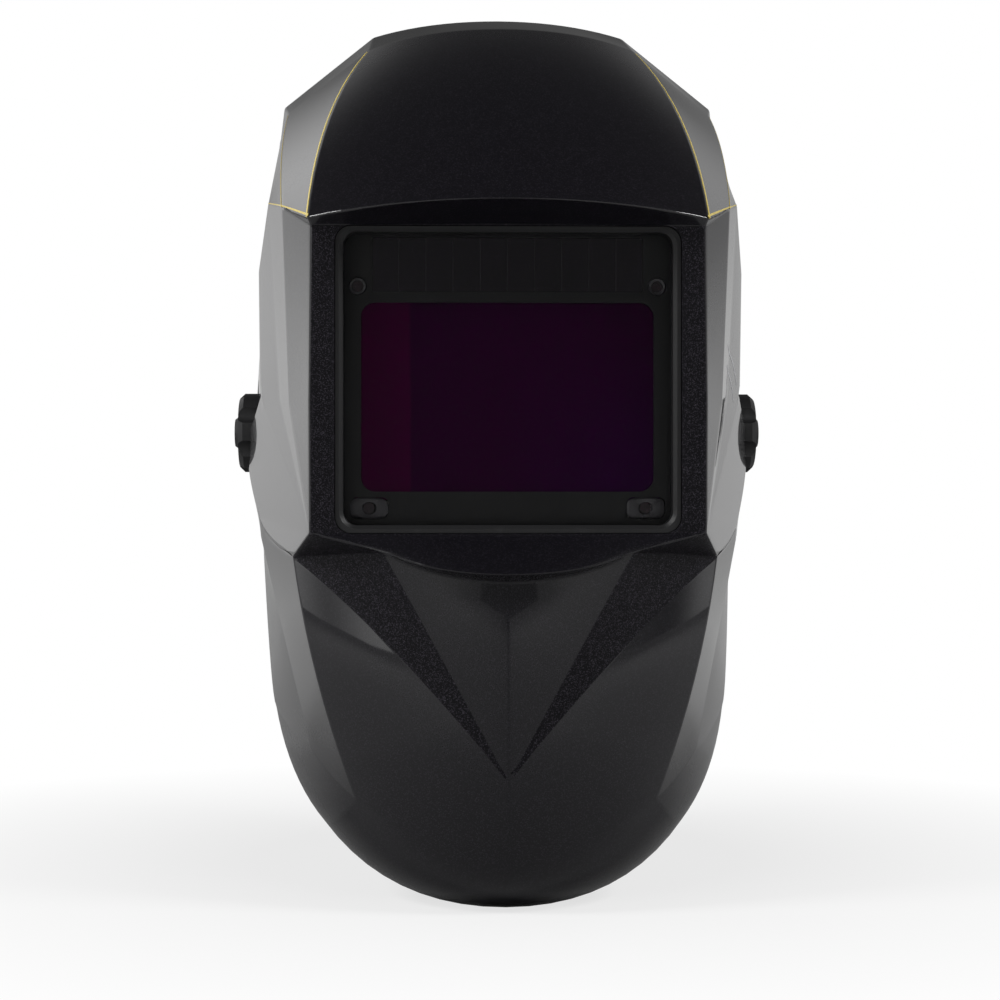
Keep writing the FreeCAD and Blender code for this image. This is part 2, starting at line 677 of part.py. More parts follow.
def make_cover_lens():
    make_plate("cover_lens", "lens_face", "lens_width", "lens_height", "lens_thick", "lens_corner")


def make_lens_gasket():
    gasket = make_plate("lens_gasket", "lens_face + lens_thick", "case_width", "case_height", 0.8,
                        "lens_corner - 0.2")
    cut_rounded(gasket, FRONT, "case_width - 8", "case_height - 5", 1, 4, 0, "lens_level", 0, False)


SOLAR_LEVEL = "lens_level + lens_height / 2 - 20.2"
SOLAR_WIDTH = "lens_width - 38"
UPPER_SENSOR = ("window_width / 2 + 1.2", "window_level + window_height / 2 + 5.7")
LOWER_SENSOR = ("window_width / 2 - 2.8", "window_level - window_height / 2 - 5.8")
CELL_SPOT = ("lens_width / 2 - 24.5", "lens_level + lens_height / 2 - 16.1")
DIAL_LEVEL = "lens_level - lens_height / 2 + 8.2"


def make_front_case():
    case = make_plate("adf_front_case", "case_face", "case_width", "case_height",
                      "front_case_depth", "lens_corner - 0.2")
    cut_rounded(case, FRONT, "case_width - 2 * case_wall", "case_height - 2 * case_wall",
                "front_case_depth", "lens_corner - 1.4", 0, "lens_level", "0 - case_wall", False)
    cut_rounded(case, FRONT, "window_width", "window_height", 5, 5, 0, "window_level", 0.5, False)
    cut_rounded(case, FRONT, SOLAR_WIDTH, "upper_bar - 14.3", 5, 1, 0, SOLAR_LEVEL, 0.5, False)
    for sign in (1, -1):
        cut_circle(case, FRONT, 3.2, 5, f"{sign} * ({UPPER_SENSOR[0]})", UPPER_SENSOR[1], 0.5, False)
        cut_rounded(case, FRONT, 13.6, 7.7, 5, 2.4, f"{sign} * ({LOWER_SENSOR[0]})",
                    LOWER_SENSOR[1], 0.5, False)


def make_rear_case():
    case = make_plate("adf_rear_case", "case_split", "case_width", "case_height",
                      "rear_case_depth", "lens_corner - 0.2")
    cut_rounded(case, FRONT, "case_width - 2 * case_wall", "case_height - 2 * case_wall",
                "rear_case_depth - case_wall", "lens_corner - 1.4", 0, "lens_level", 0, False)
    cut_rounded(case, FRONT, "window_width", "window_height", 10, 5, 0, "window_level", 0.5, False)
    for sign in (1, -1):
        cut_circle(case, FRONT, "cell_radius + 0.55", 10, f"{sign} * ({CELL_SPOT[0]})",
                   CELL_SPOT[1], 0.5, False)
        cut_circle(case, FRONT, "1.5 + fit_gap", 10, sign * 22, DIAL_LEVEL, 0.5, False)
    cut_circle(case, FRONT, "2 + fit_gap", 10, 0, CELL_SPOT[1], 0.5, False)
    cut_rectangle(case, FRONT, 8.1, 3, 10, 0, DIAL_LEVEL, 0.5, False)
    cut_circle(case, FRONT, "2 + fit_gap", 10, 40, DIAL_LEVEL, 0.5, False)


def make_retainer():
    frame = make_plate("retainer_frame", "case_back", "lens_width", "lens_height", 2.5,
                       "lens_corner + 0.2")
    cut_rounded(frame, FRONT, "case_width - 5.2", "case_height - 5.2", 3, 5, 0, "lens_level",
                0.2, False)
    for sign in (1, -1):
        add_rectangle(frame, FRONT, 9, 20, 2.5, f"{sign} * (case_width / 2 - 5.6)",
                      "lens_level - 6", 0, False)


def make_latches():
    """Sliding catches whose tongues reach through the sides of the holder."""
    for side, sign in SIDES:
        latch = body(f"latch_{side}", 0, "case_back + 2.6", 0)
        add_rectangle(latch, FRONT, 9, 16, 2, f"{sign} * (holder_width / 2 - 6)", "lens_level - 6",
                      0, False)
        add_rectangle(latch, FRONT, 5, 9.5, 1.6, f"{sign} * (holder_width / 2 - 1.5)",
                      "lens_level - 6", -0.2, False)
        add_rectangle(latch, FRONT, 2, 10, 1.2, f"{sign} * (holder_width / 2 - 7)",
                      "lens_level - 6", -2, False)


GLASS_STACK = [
    ("uv_ir_filter", 1.6), ("lcd_cell_front", 2.0), ("lcd_cell_rear", 2.0), ("rear_glass", 1.2),
]


def make_glass_stack():
    depth = value("case_face + case_wall")
    for label, thick in GLASS_STACK:
        make_plate(label, depth, "glass_width", "glass_height", thick, 2, "window_level")
        depth += thick
    seal = make_plate("glass_seal", depth, "glass_width", "glass_height",
                      f"case_back - case_wall - ({depth})", 2, "window_level")
    cut_rounded(seal, FRONT, "window_width + 0.4", "window_height + 0.4", 3, 5, 0, "window_level",
                0.5, False)
    make_plate("inner_cover_plate", "case_back", "glass_width + 2", "glass_height - 3", 1, 2,
               "window_level")


BOARD_FACE = "case_face + 3.4"


def make_electronics():
    board = make_plate("circuit_board", BOARD_FACE, "case_width - 4.6", "case_height - 4.6", 1.6, 3)
    cut_rounded(board, FRONT, "glass_width + 0.6", "glass_height + 0.6", 3, 2, 0, "window_level",
                0.5, False)
    make_plate("solar_panel", "case_face + case_wall", f"{SOLAR_WIDTH} + 2", "upper_bar - 13.4", 1, 1,
               SOLAR_LEVEL)
    sensors = []
    for x, z in (UPPER_SENSOR, LOWER_SENSOR):
        eye = Part.makeCylinder(1.9, value(BOARD_FACE) - value("case_face + 1.4"),
                                Vector(value(x), value("case_face + 1.4"), value(z)), Vector(0, 1, 0))
        sensors += [eye, mirrored(eye)]
    shape_node("arc_sensors", Part.makeCompound(sensors))
    cell = Part.makeCylinder(SIZE["cell_radius"], SIZE["cell_thick"],
                             Vector(value(CELL_SPOT[0]), value("case_split + 0.2"),
                                    value(CELL_SPOT[1])), Vector(0, 1, 0))
    shape_node("coin_cells", Part.makeCompound([cell, mirrored(cell)]))


def make_battery_caps():
    for side, sign in SIDES:
        cap = body(f"battery_cap_{side}", f"{sign} * ({CELL_SPOT[0]})", "case_back - 0.6",
                   CELL_SPOT[1])
        add_circle(cap, FRONT, "cell_radius + 0.45", 1.6, forward=False)
        cut_rectangle(cap, FRONT, 14, 1.8, 1, 0, 0, -0.9, False)


def make_dial(label, x, level, radius, thick, stem, grips):
    """A ribbed disc on a stem that runs through the rear case; its pointer is a slot."""
    dial = body(label, x, "case_back + 0.3", level)
    add_circle(dial, FRONT, radius, thick, forward=False)
    flat = sketch_on(dial, FRONT)
    draw_circle(flat, 0.5, radius, 0)
    notch = pocket(dial, flat, thick, False)
    repeat_round(dial, notch, flat, grips)
    cut_rectangle(dial, FRONT, 1, f"({radius}) - 1", 1, 0, f"({radius}) / 2 - 0.5",
                  f"0.7 - ({thick})", False)
    add_circle(dial, FRONT, stem, 5.4, forward=True)


def make_controls():
    make_dial("sensitivity_dial", -22, DIAL_LEVEL, "dial_radius", 2.7, 1.5, 14)
    make_dial("delay_dial", 22, DIAL_LEVEL, "dial_radius", 2.7, 1.5, 14)
    make_dial("shade_dial", 0, CELL_SPOT[1], "shade_radius", 3.2, 2, 24)
    switch = body("mode_switch", 0, "case_back - case_wall - 1.5", DIAL_LEVEL)
    add_rectangle(switch, FRONT, 11, 4.6, 1.2, forward=False)
    add_rectangle(switch, FRONT, 3.5, 2.4, 4.2, forward=False)
    button = body("test_button", 40, "case_back - case_wall - 1.2", DIAL_LEVEL)
    add_circle(button, FRONT, 3, 1, forward=False)
    add_circle(button, FRONT, 2, 3.9, forward=False)


# ---------------------------------------------------------------- pivots

def turned(label, sign, outline):
    """A piece turned about the pivot axis; its outline is pairs of X and radius."""
    made = body(label)
    revolve(made, [(f"{sign} * ({x})", radius) for x, radius in outline], "H_Axis")
    return made


def ring_x(label, sign, start, end, inner, outer):
    return turned(label, sign, [(start, inner), (end, inner), (end, outer), (start, outer)])


def make_bushes():
    for side, sign in SIDES:
        ring_x(f"pivot_bush_{side}", sign, "boss_in", "dish_floor", "shoulder_radius + fit_gap",
               "bush_radius")


NECK = "2 * shoulder_radius - 2.4"


def make_bolts():
    """Square neck through arm, plate and disc; round shoulder in the bush; thread in the knob."""
    for side, sign in SIDES:
        bolt = turned(f"pivot_bolt_{side}", sign, [
            ("arm_in - 2.5", 0), ("knob_in + 7.5", 0), ("knob_in + 7.5", "thread_radius"),
            ("knob_in - 0.2", "thread_radius"), ("knob_in - 0.2", "shoulder_radius"),
            ("washer_in", "shoulder_radius"), ("washer_in", f"({NECK}) / 2"),
            ("arm_in - run_gap", f"({NECK}) / 2"), ("arm_in - run_gap", 7), ("arm_in - 1.8", 7),
            ("arm_in - 2.5", 5)])
        add_rectangle(bolt, "YZ_Plane", NECK, NECK, "washer_in - arm_in + 2 * run_gap", 0, 0,
                      f"{sign} * (arm_in - 2 * run_gap)", sign > 0)


def make_carriage_plates():
    for side, sign in SIDES:
        plate = body(f"carriage_plate_{side}")
        add_rounded(plate, "YZ_Plane", 40, 30, "plate_thick", 6, 0, 0, f"{sign} * plate_in", sign > 0)
        cut_rectangle(plate, "YZ_Plane", f"{NECK} + 0.1", f"{NECK} + 0.1", "plate_thick + 2", 0, 0,
                      f"{sign} * (plate_in - 1)", sign > 0)


def make_tilt_discs():
    """Each disc has the curved slot that the shell's stop peg runs in."""
    start, thick = SIZE["disc_in"], SIZE["disc_thick"]
    neck = value(NECK) + 0.1
    slot_half = SIZE["peg_radius"] + SIZE["run_gap"]
    disc = along_x(20, start, start + thick)
    disc = disc.cut(Part.makeBox(thick + 2, neck, neck, Vector(start - 1, -neck / 2, -neck / 2)))
    y, z = peg_spot()
    across = Vector(0, y, z).normalize() * slot_half
    middle = Vector(start - 1, y, z)
    far = Vector(thick + 2, 0, 0)
    corners = [middle - across, middle + across, middle + across + far, middle - across + far]
    section = Part.Face(Part.makePolygon(corners + corners[:1]))
    slot = section.revolve(Vector(0, 0, 0), Vector(-1, 0, 0), SIZE["tilt_range"])
    disc = disc.cut(slot)
    for turn in (0, SIZE["tilt_range"]):
        end_y, end_z = peg_spot(turn)
        disc = disc.cut(along_x(slot_half, start - 1, start + thick + 1, end_y, end_z))
    shape_node("tilt_disc_left", disc)
    shape_node("tilt_disc_right", mirrored(disc))


def make_washers():
    for side, sign in SIDES:
        turned(f"wave_washer_{side}", sign, [
            ("washer_in + 0.1", 9.8), ("washer_in + 0.7", 10.4), ("boss_in - 0.1", 6.2),
            ("boss_in - 0.7", 5.4)])
        ring_x(f"cap_washer_{side}", sign, "cap_in", "cap_in + cap_washer - 0.1",
               "shoulder_radius + fit_gap", 12)


def make_pivot_knobs():
    for side, sign in SIDES:
        knob = turned(f"pivot_knob_{side}", sign, [
            ("knob_in", "thread_radius + fit_gap"), ("knob_in + 8", "thread_radius + fit_gap"),
            ("knob_in + 8", 0), ("knob_in + knob_depth", 0), ("knob_in + knob_depth", 5.5),
            ("knob_in + knob_depth - 2", 7), ("knob_in + knob_depth - 2", "knob_radius - 2"),
            ("knob_in + knob_depth - 4", "knob_radius"), ("knob_in", "knob_radius")])
        flat = sketch_on(knob, "YZ_Plane", f"{sign} * knob_in")
        draw_circle(flat, 4.2, "knob_radius + 2", 0)
        scallop = pocket(knob, flat, "knob_depth + 1", sign > 0)
        repeat_round(knob, scallop, flat, 7)


# ---------------------------------------------------------------- headband

def band_face(outer_half, front_half, rear_open):
    """Outline of the band's front: half an ellipse and the straight sides, closed at the rear."""
    centre = Vector(0, -SIZE["band_straight_front"], 0)
    if front_half >= outer_half:
        ellipse = Part.Ellipse(centre + Vector(0, -front_half, 0), centre + Vector(outer_half, 0, 0),
                               centre)
        arc = Part.ArcOfEllipse(ellipse, -math.pi / 2, math.pi / 2)
    else:
        ellipse = Part.Ellipse(centre + Vector(-outer_half, 0, 0), centre + Vector(0, -front_half, 0),
                               centre)
        arc = Part.ArcOfEllipse(ellipse, 0, math.pi)
    front = arc.toShape()
    a, b = front.Vertexes[0].Point, front.Vertexes[-1].Point
    rear_a, rear_b = Vector(a.x, rear_open, 0), Vector(b.x, rear_open, 0)
    sides = [Part.makeLine(b, rear_b), Part.makeLine(rear_b, rear_a), Part.makeLine(rear_a, a)]
    return Part.Face(Part.Wire([front] + sides))


def front_band(inset, thick, rear_open, low, high):
    """A strip of the band's front, measured inwards from the headband's outer face."""
    half = SIZE["head_outer"] - inset
    front = SIZE["band_front"] - SIZE["band_straight_front"] - inset
    outer = band_face(half, front, rear_open)
    inner = band_face(half - thick, front - thick, rear_open + 1)
    strip = outer.extrude(Vector(0, 0, high - low)).cut(inner.extrude(Vector(0, 0, high - low)))
    strip.translate(Vector(0, 0, low))
    return strip


RIVETS = (14.0, 24.0)


def rivet_spots():
    """Rivet places in the band's own frame."""
    return [(along, SIZE["band_mid"]) for along in RIVETS]


def make_headband():
    band = front_band(0, SIZE["band_thick"], SIZE["band_straight_rear"], SIZE["band_low"],
                      SIZE["band_high"])
    for y, z in rivet_spots():
        hole = along_x(2.05, SIZE["head_half_width"] - 5, SIZE["head_outer"] + 5, y, z)
        band = band.cut(hole).cut(mirrored(hole))
    shape_node("headband", band, tilted=True)
    pad_strip = front_band(SIZE["band_thick"] + 0.1, SIZE["pad_thick"], 2, SIZE["band_low"] - 3,
                           SIZE["band_high"] + 3)
    shape_node("sweatband", pad_strip, tilted=True)


def make_side_arms():
    """Arms drop from the band to the pivots; the slot lets the carriage move fore and aft."""
    lean = math.radians(SIZE["band_tilt"])
    for side, sign in SIDES:
        arm = body(f"side_arm_{side}")
        flat = sketch_on(arm, "YZ_Plane", f"{sign} * arm_in")
        draw_loop(flat, [(-24, -12), (24, -12), (26, 12), (36, 28), (36, "band_mid + 5"),
                         (18.5, "band_mid + 7"), (18.5, 30), (4, 12), (-24, 12)])
        pad(arm, flat, "arm_thick", sign > 0)
        round_edges(arm, 3.5, Vector(1, 0, 0))
        add_rectangle(arm, "YZ_Plane", 15, 15, "arm_in - head_outer", 27.2, "band_mid - 4.2",
                      f"{sign} * head_outer", sign > 0)
        cut_rectangle(arm, "YZ_Plane", f"2 * slide_travel + {NECK} + 1", f"{NECK} + 0.6",
                      "arm_thick + 2", 0, 0, f"{sign} * (arm_in - 1)", sign > 0)
        for y, z in rivet_spots():
            row_y = y * math.cos(lean) + z * math.sin(lean)
            row_z = z * math.cos(lean) - y * math.sin(lean)
            cut_circle(arm, "YZ_Plane", 2.05, 10, row_y, row_z, f"{sign} * (head_outer - 1)", sign > 0)


def make_rivets():
    rivets = []
    for y, z in rivet_spots():
        shank = along_x(2, SIZE["head_half_width"] + 0.05, value("arm_in + arm_thick + 0.5"), y, z)
        head = along_x(3.6, value("arm_in + arm_thick + 0.02"), value("arm_in + arm_thick + 1"), y, z)
        rivet = shank.fuse(head)
        rivets += [rivet, mirrored(rivet)]
    shape_node("arm_rivets", Part.makeCompound(rivets), tilted=True)


def crown_arch(half, height, thick, from_x, to_x, width, low):
    """Part of an elliptical arch over the head, springing from the headband's upper edge."""
    middle = Vector(0, -width / 2, SIZE["band_high"])
    solids = []
    for grow in (0, thick):
        top, side = Vector(0, 0, height + grow), Vector(half + grow, 0, 0)
        longer, shorter = (top, side) if top.Length >= side.Length else (side, top)
        ellipse = Part.Ellipse(middle + longer, middle + shorter, middle)
        solids.append(Part.Face(Part.Wire(ellipse.toShape())).extrude(Vector(0, width, 0)))
    arch = solids[1].cut(solids[0])
    room = Part.makeBox(to_x - from_x, width + 2, height + 60,
                        Vector(from_x, -width / 2 - 1, low))
    return arch.common(room)


def make_crown():
    half, thick = SIZE["head_outer"], SIZE["strap_thick"]
    width, mid, edge = SIZE["strap_width"], SIZE["band_mid"], SIZE["band_high"]
    height = value("strap_height + band_mid - band_high")
    overlap = 20
    holes = [Part.makeCylinder(2.1, 30, Vector(x, 0, edge + height - 15)) for x in (-8, 8)]
    for side, sign, drop in (("left", 1, 0), ("right", -1, thick + 0.2)):
        arch = crown_arch(half, height - drop, thick, -overlap, half + 10, width, edge)
        foot = Part.makeBox(thick, width, edge - mid + 10, Vector(half, -width / 2, mid - 10))
        strap = arch.fuse(foot)
        for hole in holes:
            strap = strap.cut(hole)
        shape_node(f"crown_strap_{side}", strap if sign > 0 else mirrored(strap), tilted=True)
    top = edge + height + thick
    pegs = []
    for x in (-8, 8):
        shank = Part.makeCylinder(2, 3.4, Vector(x, 0, top - 3.2))
        pegs.append(shank.fuse(Part.makeCylinder(3.5, 1.2, Vector(x, 0, top + 0.1))))
    shape_node("crown_pegs", Part.makeCompound(pegs), tilted=True)
    cushion = crown_arch(half - SIZE["pad_thick"] - 0.3, height - drop - 0.3 - SIZE["pad_thick"],
                         SIZE["pad_thick"], -32, 32, width + 8, edge)
    shape_node("crown_pad", cushion, tilted=True)


# ---------------------------------------------------------------- rear band and ratchet

def make_keepers():
    """Loops inside the headband that hold the legs of the rear band."""
    for side, sign in SIDES:
        keeper = body(f"band_keeper_{side}")
        gap = SIZE["run_gap"]
        add_rectangle(keeper, "YZ_Plane", 7, "band_high - band_low - 1", "2 * run_gap + band_thick + 1.4",
                      24, "band_mid", f"{sign} * (head_half_width - 2 * run_gap - band_thick - 1.4)",
                      sign > 0)
        cut_rectangle(keeper, "YZ_Plane", 9, "16 + 2 * run_gap", "3 * run_gap + band_thick", 24,
                      "band_mid", f"{sign} * (head_half_width - 2 * run_gap - band_thick)", sign > 0)
        tilt_with_band(keeper)


def arc_strip(inner, outer, from_angle, to_angle, low, high):
    """A strip bent round the middle of the rear band; 90 degrees is the nape."""
    section = Part.makePolygon([Vector(inner, 0, low), Vector(outer, 0, low), Vector(outer, 0, high),
                                Vector(inner, 0, high), Vector(inner, 0, low)])
    strip = Part.Face(section).revolve(Vector(0, 0, 0), Vector(0, 0, 1), to_angle - from_angle)
    strip.rotate(Vector(0, 0, 0), Vector(0, 0, 1), from_angle)
    strip.translate(Vector(0, SIZE["band_straight_rear"], 0))
    return strip


def make_rear_band():
    outer, thick = SIZE["rear_outer"], SIZE["band_thick"]
    low, high = SIZE["band_mid"] - 8, SIZE["band_mid"] + 8
    band = arc_strip(outer - thick, outer, 0, 180, low, high)
    leg_start = 12.0
    leg = Part.makeBox(thick, SIZE["band_straight_rear"] - leg_start, high - low,
                       Vector(outer - thick, leg_start, low))
    shape_node("rear_band", band.fuse([leg, mirrored(leg)]), tilted=True)
    cushion = arc_strip(outer - thick - 0.1 - SIZE["pad_thick"], outer - thick - 0.1, 50, 130,
                        low - 1, high + 1)
    shape_node("rear_pad", cushion, tilted=True)


TOOTH_PITCH = 3.0


def make_racks():
    """Two toothed strips that pass above and below the pinion."""
    inner = SIZE["rear_outer"] + 0.4
    outer = inner + 1.8
    mid = SIZE["band_mid"]
    root = SIZE["pinion_radius"] + 1.4
    pitch = math.degrees(TOOTH_PITCH / inner)
    strip = arc_strip(inner, outer, 48, 97, mid + root, mid + 8)
    teeth = [arc_strip(inner, outer, 66 + pitch * i, 66 + pitch * (i + 0.5),
                       mid + root - 1.1, mid + root + 0.2) for i in range(14)]
    rack = strip.fuse(teeth)
    lower = mirrored(rack).mirror(Vector(0, 0, mid), Vector(0, 0, 1))
    shape_node("rack_left", rack, tilted=True)
    shape_node("rack_right", lower, tilted=True)


def make_housing():
    housing = body("ratchet_housing")
    depth = 18
    add_rectangle(housing, "XY_Plane", 48, depth, "band_high - band_low", 0,
                  f"housing_back - {depth} / 2", "band_low", True)
    round_edges(housing, 3, Vector(0, 0, 1), lambda e: e.Vertexes[0].Y > value("housing_back - 1"))
    cut_circle(housing, "XY_Plane", "rear_outer", "band_high - band_low + 2", 0, "band_straight_rear",
               "band_low - 1", True)
    cut_circle(housing, "XY_Plane", "rear_outer + 2.6", 16.8, 0, "band_straight_rear",
               "band_mid - 8.4", True)
    cut_circle(housing, FRONT, "2.5 + fit_gap", 20, 0, "band_mid", "0 - housing_back - 1", True)
    tilt_with_band(housing)


def make_ratchet_knob():
    """Pinion, shaft and lobed grip turn together about the fore-aft line at the nape."""
    pinion_start = value("band_straight_rear + rear_outer + 0.4")
    mid = SIZE["band_mid"]
    back = SIZE["housing_back"]
    pinion = Part.makeCylinder(SIZE["pinion_radius"], 1.9, Vector(0, pinion_start, mid),
                               Vector(0, 1, 0))
    for i in range(10):
        angle = math.tau * i / 10
        reach = SIZE["pinion_radius"]
        gap = Part.makeCylinder(0.7, 4, Vector(reach * math.cos(angle), pinion_start - 1,
                                               mid + reach * math.sin(angle)), Vector(0, 1, 0))
        pinion = pinion.cut(gap)
    pinion = pinion.cut(Part.makeCylinder(1.6, 4, Vector(0, pinion_start - 1, mid), Vector(0, 1, 0)))
    shape_node("ratchet_pinion", pinion, tilted=True)
    knob = body("ratchet_knob")
    revolve(knob, [(0, "housing_back + 10"), ("ratchet_radius - 4", "housing_back + 10"),
                   ("ratchet_radius", "housing_back + 7"), ("ratchet_radius", "housing_back + 0.3"),
                   (2.5, "housing_back + 0.3"), (2.5, pinion_start + 2.0),
                   (1.6, pinion_start + 2.0), (1.6, pinion_start), (0, pinion_start)],
            "V_Axis", "band_mid")
    tilt_with_band(knob)


# ---------------------------------------------------------------- build, check and write

for make in (make_shell, make_stop_pegs, make_holder, make_cover_lens, make_lens_gasket,
             make_front_case, make_rear_case, make_retainer, make_latches, make_glass_stack,
             make_electronics, make_battery_caps, make_controls, make_bushes, make_bolts,
             make_carriage_plates, make_tilt_discs, make_washers, make_pivot_knobs, make_headband,
             make_side_arms, make_rivets, make_crown, make_keepers, make_rear_band, make_racks,
             make_housing, make_ratchet_knob):
    make()

doc.recompute()
for item in doc.Objects:
    if {"Invalid", "Error"} & set(item.State):
        raise RuntimeError(f"{item.Name} failed: {item.State}")
for item in SUBPARTS:
    if item.Shape.isNull() or not item.Shape.isValid() or not item.Shape.Solids:
        raise RuntimeError(f"{item.Label} has no valid solid")
for item in SUBPARTS:
    item.Shape.exportStep(f"parts/{item.Label}.step")
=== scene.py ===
import json
import math

import bmesh
import bpy
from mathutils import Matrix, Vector
from mathutils.bvhtree import BVHTree


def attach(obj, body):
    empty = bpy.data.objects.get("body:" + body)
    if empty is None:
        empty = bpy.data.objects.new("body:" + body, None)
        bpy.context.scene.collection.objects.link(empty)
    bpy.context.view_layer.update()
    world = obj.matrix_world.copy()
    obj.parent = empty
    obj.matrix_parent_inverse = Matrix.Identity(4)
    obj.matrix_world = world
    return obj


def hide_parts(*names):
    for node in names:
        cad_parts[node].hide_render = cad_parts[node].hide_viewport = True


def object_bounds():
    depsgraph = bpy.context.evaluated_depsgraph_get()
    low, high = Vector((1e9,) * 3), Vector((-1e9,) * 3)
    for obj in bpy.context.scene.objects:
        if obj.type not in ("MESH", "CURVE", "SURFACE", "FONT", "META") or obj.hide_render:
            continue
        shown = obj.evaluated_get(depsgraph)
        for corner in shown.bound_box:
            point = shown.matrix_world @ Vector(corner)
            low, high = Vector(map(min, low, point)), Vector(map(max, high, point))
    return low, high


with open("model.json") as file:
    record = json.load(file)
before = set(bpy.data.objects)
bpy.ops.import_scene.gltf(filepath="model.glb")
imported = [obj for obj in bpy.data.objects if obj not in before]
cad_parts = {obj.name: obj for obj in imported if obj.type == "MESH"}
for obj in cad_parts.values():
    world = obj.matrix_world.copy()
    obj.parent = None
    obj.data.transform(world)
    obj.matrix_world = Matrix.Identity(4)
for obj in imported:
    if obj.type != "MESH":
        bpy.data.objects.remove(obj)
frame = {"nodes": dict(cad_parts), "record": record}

CAD_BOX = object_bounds()

bl_info = {
    "name": "Auto-darkening welding helmet",
    "version": (1, 0, 0),
    "blender": (4, 5, 0),
    "location": "3D View > Sidebar > Welding Helmet",
    "description": "Finishes a welding helmet: hood, filter cartridge, headgear and a plain stage",
    "category": "Object",
}

# Shared frame, metres: +Z up, the visor faces -Y, +X is the wearer's left, the origin lies on the
# pivot axis between the temples.
MM = 0.001
FLOOR_GAP = 0.2 * MM


# ------------------------------------------------------------------ settings

def colour(name, description, default):
    """A setting that holds a linear colour."""
    return bpy.props.FloatVectorProperty(name=name, description=description, default=default,
                                         size=3, subtype="COLOR", min=0, max=1)


def length(name, description, default, low, high):
    """A setting that holds a length in metres."""
    return bpy.props.FloatProperty(name=name, description=description, default=default, min=low,
                                   max=high, subtype="DISTANCE", unit="LENGTH")


class HoodSettings(bpy.types.PropertyGroup):
    """Paint and edges of the hood."""

    edge_width: length("Edge Width", "Rounding across each crease of the hood",
                       0.8 * MM, 0.1 * MM, 3 * MM)
    paint: colour("Paint", "Colour of the gloss paint under its clear coat",
                  (0.0048, 0.0044, 0.0062))
    flake: colour("Flake", "Colour of the metal flakes in the paint", (0.16, 0.145, 0.18))
    pinstripe: colour("Pinstripe", "Colour of the thin line along the brow facets",
                      (0.78, 0.6, 0.09))
    pinstripe_width: length("Pinstripe Width", "Width of the thin line along the brow facets",
                            1.1 * MM, 0.2 * MM, 4 * MM)


class CartridgeSettings(bpy.types.PropertyGroup):
    """Colours of the filter cartridge."""

    glass: colour("Filter Glass", "Colour of the coated filter glass", (0.030, 0.0006, 0.027))
    casing: colour("Casing", "Colour of the moulded cartridge case", (0.012, 0.012, 0.013))


class HeadgearSettings(bpy.types.PropertyGroup):
    """Colours of the headband and its pads."""

    band: colour("Band", "Colour of the flexible band and its fittings", (0.018, 0.018, 0.019))
    cloth: colour("Cloth", "Colour of the sweatband and pad covers", (0.05, 0.052, 0.058))
    stitch_pitch: length("Stitch Pitch", "Length of one stitch along the sweatband's seams",
                         3.2 * MM, 1 * MM, 10 * MM)


class StageSettings(bpy.types.PropertyGroup):
    """Floor, light and camera."""

    distance: length("Camera Distance", "Camera ahead of the pivot axis", 0.95, 0.3, 5)
    sideways: length("Camera Sideways", "Camera towards the wearer's right of the middle plane",
                     0.025, -1, 1)
    turn: bpy.props.FloatProperty(
        name="Camera Turn", description="Turn of the camera back towards the helmet",
        default=math.radians(1.58), min=-1, max=1, subtype="ANGLE", unit="ROTATION")
    level: length("Camera Level", "Height of the camera against the pivot axis", -0.0274, -1, 1)
    lens: bpy.props.FloatProperty(
        name="Focal Length", description="Focal length of the camera on a 36 mm sensor, in mm",
        default=83.5, min=20, max=300)


# ------------------------------------------------------------------ shader maths

class Socket:
    """An output of a shader node that can be used in sums; each sum adds a Math node."""

    def __init__(self, shader, output):
        self.shader = shader
        self.output = output

    def _sum(self, operation, first, second):
        return self.shader.node("ShaderNodeMath", {"operation": operation}, {0: first, 1: second})

    def __add__(self, other):
        return self._sum("ADD", self, other)

    def __radd__(self, other):
        return self._sum("ADD", other, self)

    def __sub__(self, other):
        return self._sum("SUBTRACT", self, other)

    def __rsub__(self, other):
        return self._sum("SUBTRACT", other, self)

    def __mul__(self, other):
        return self._sum("MULTIPLY", self, other)

    def __rmul__(self, other):
        return self._sum("MULTIPLY", other, self)

    def __pow__(self, other):
        return self._sum("POWER", self, other)

    def smaller(self, other):
        return self._sum("MINIMUM", self, other)

    def larger(self, other):
        return self._sum("MAXIMUM", self, other)

    def size(self):
        return self._sum("ABSOLUTE", self, 0.0)

    def wave(self):
        return self._sum("SINE", self, 0.0)


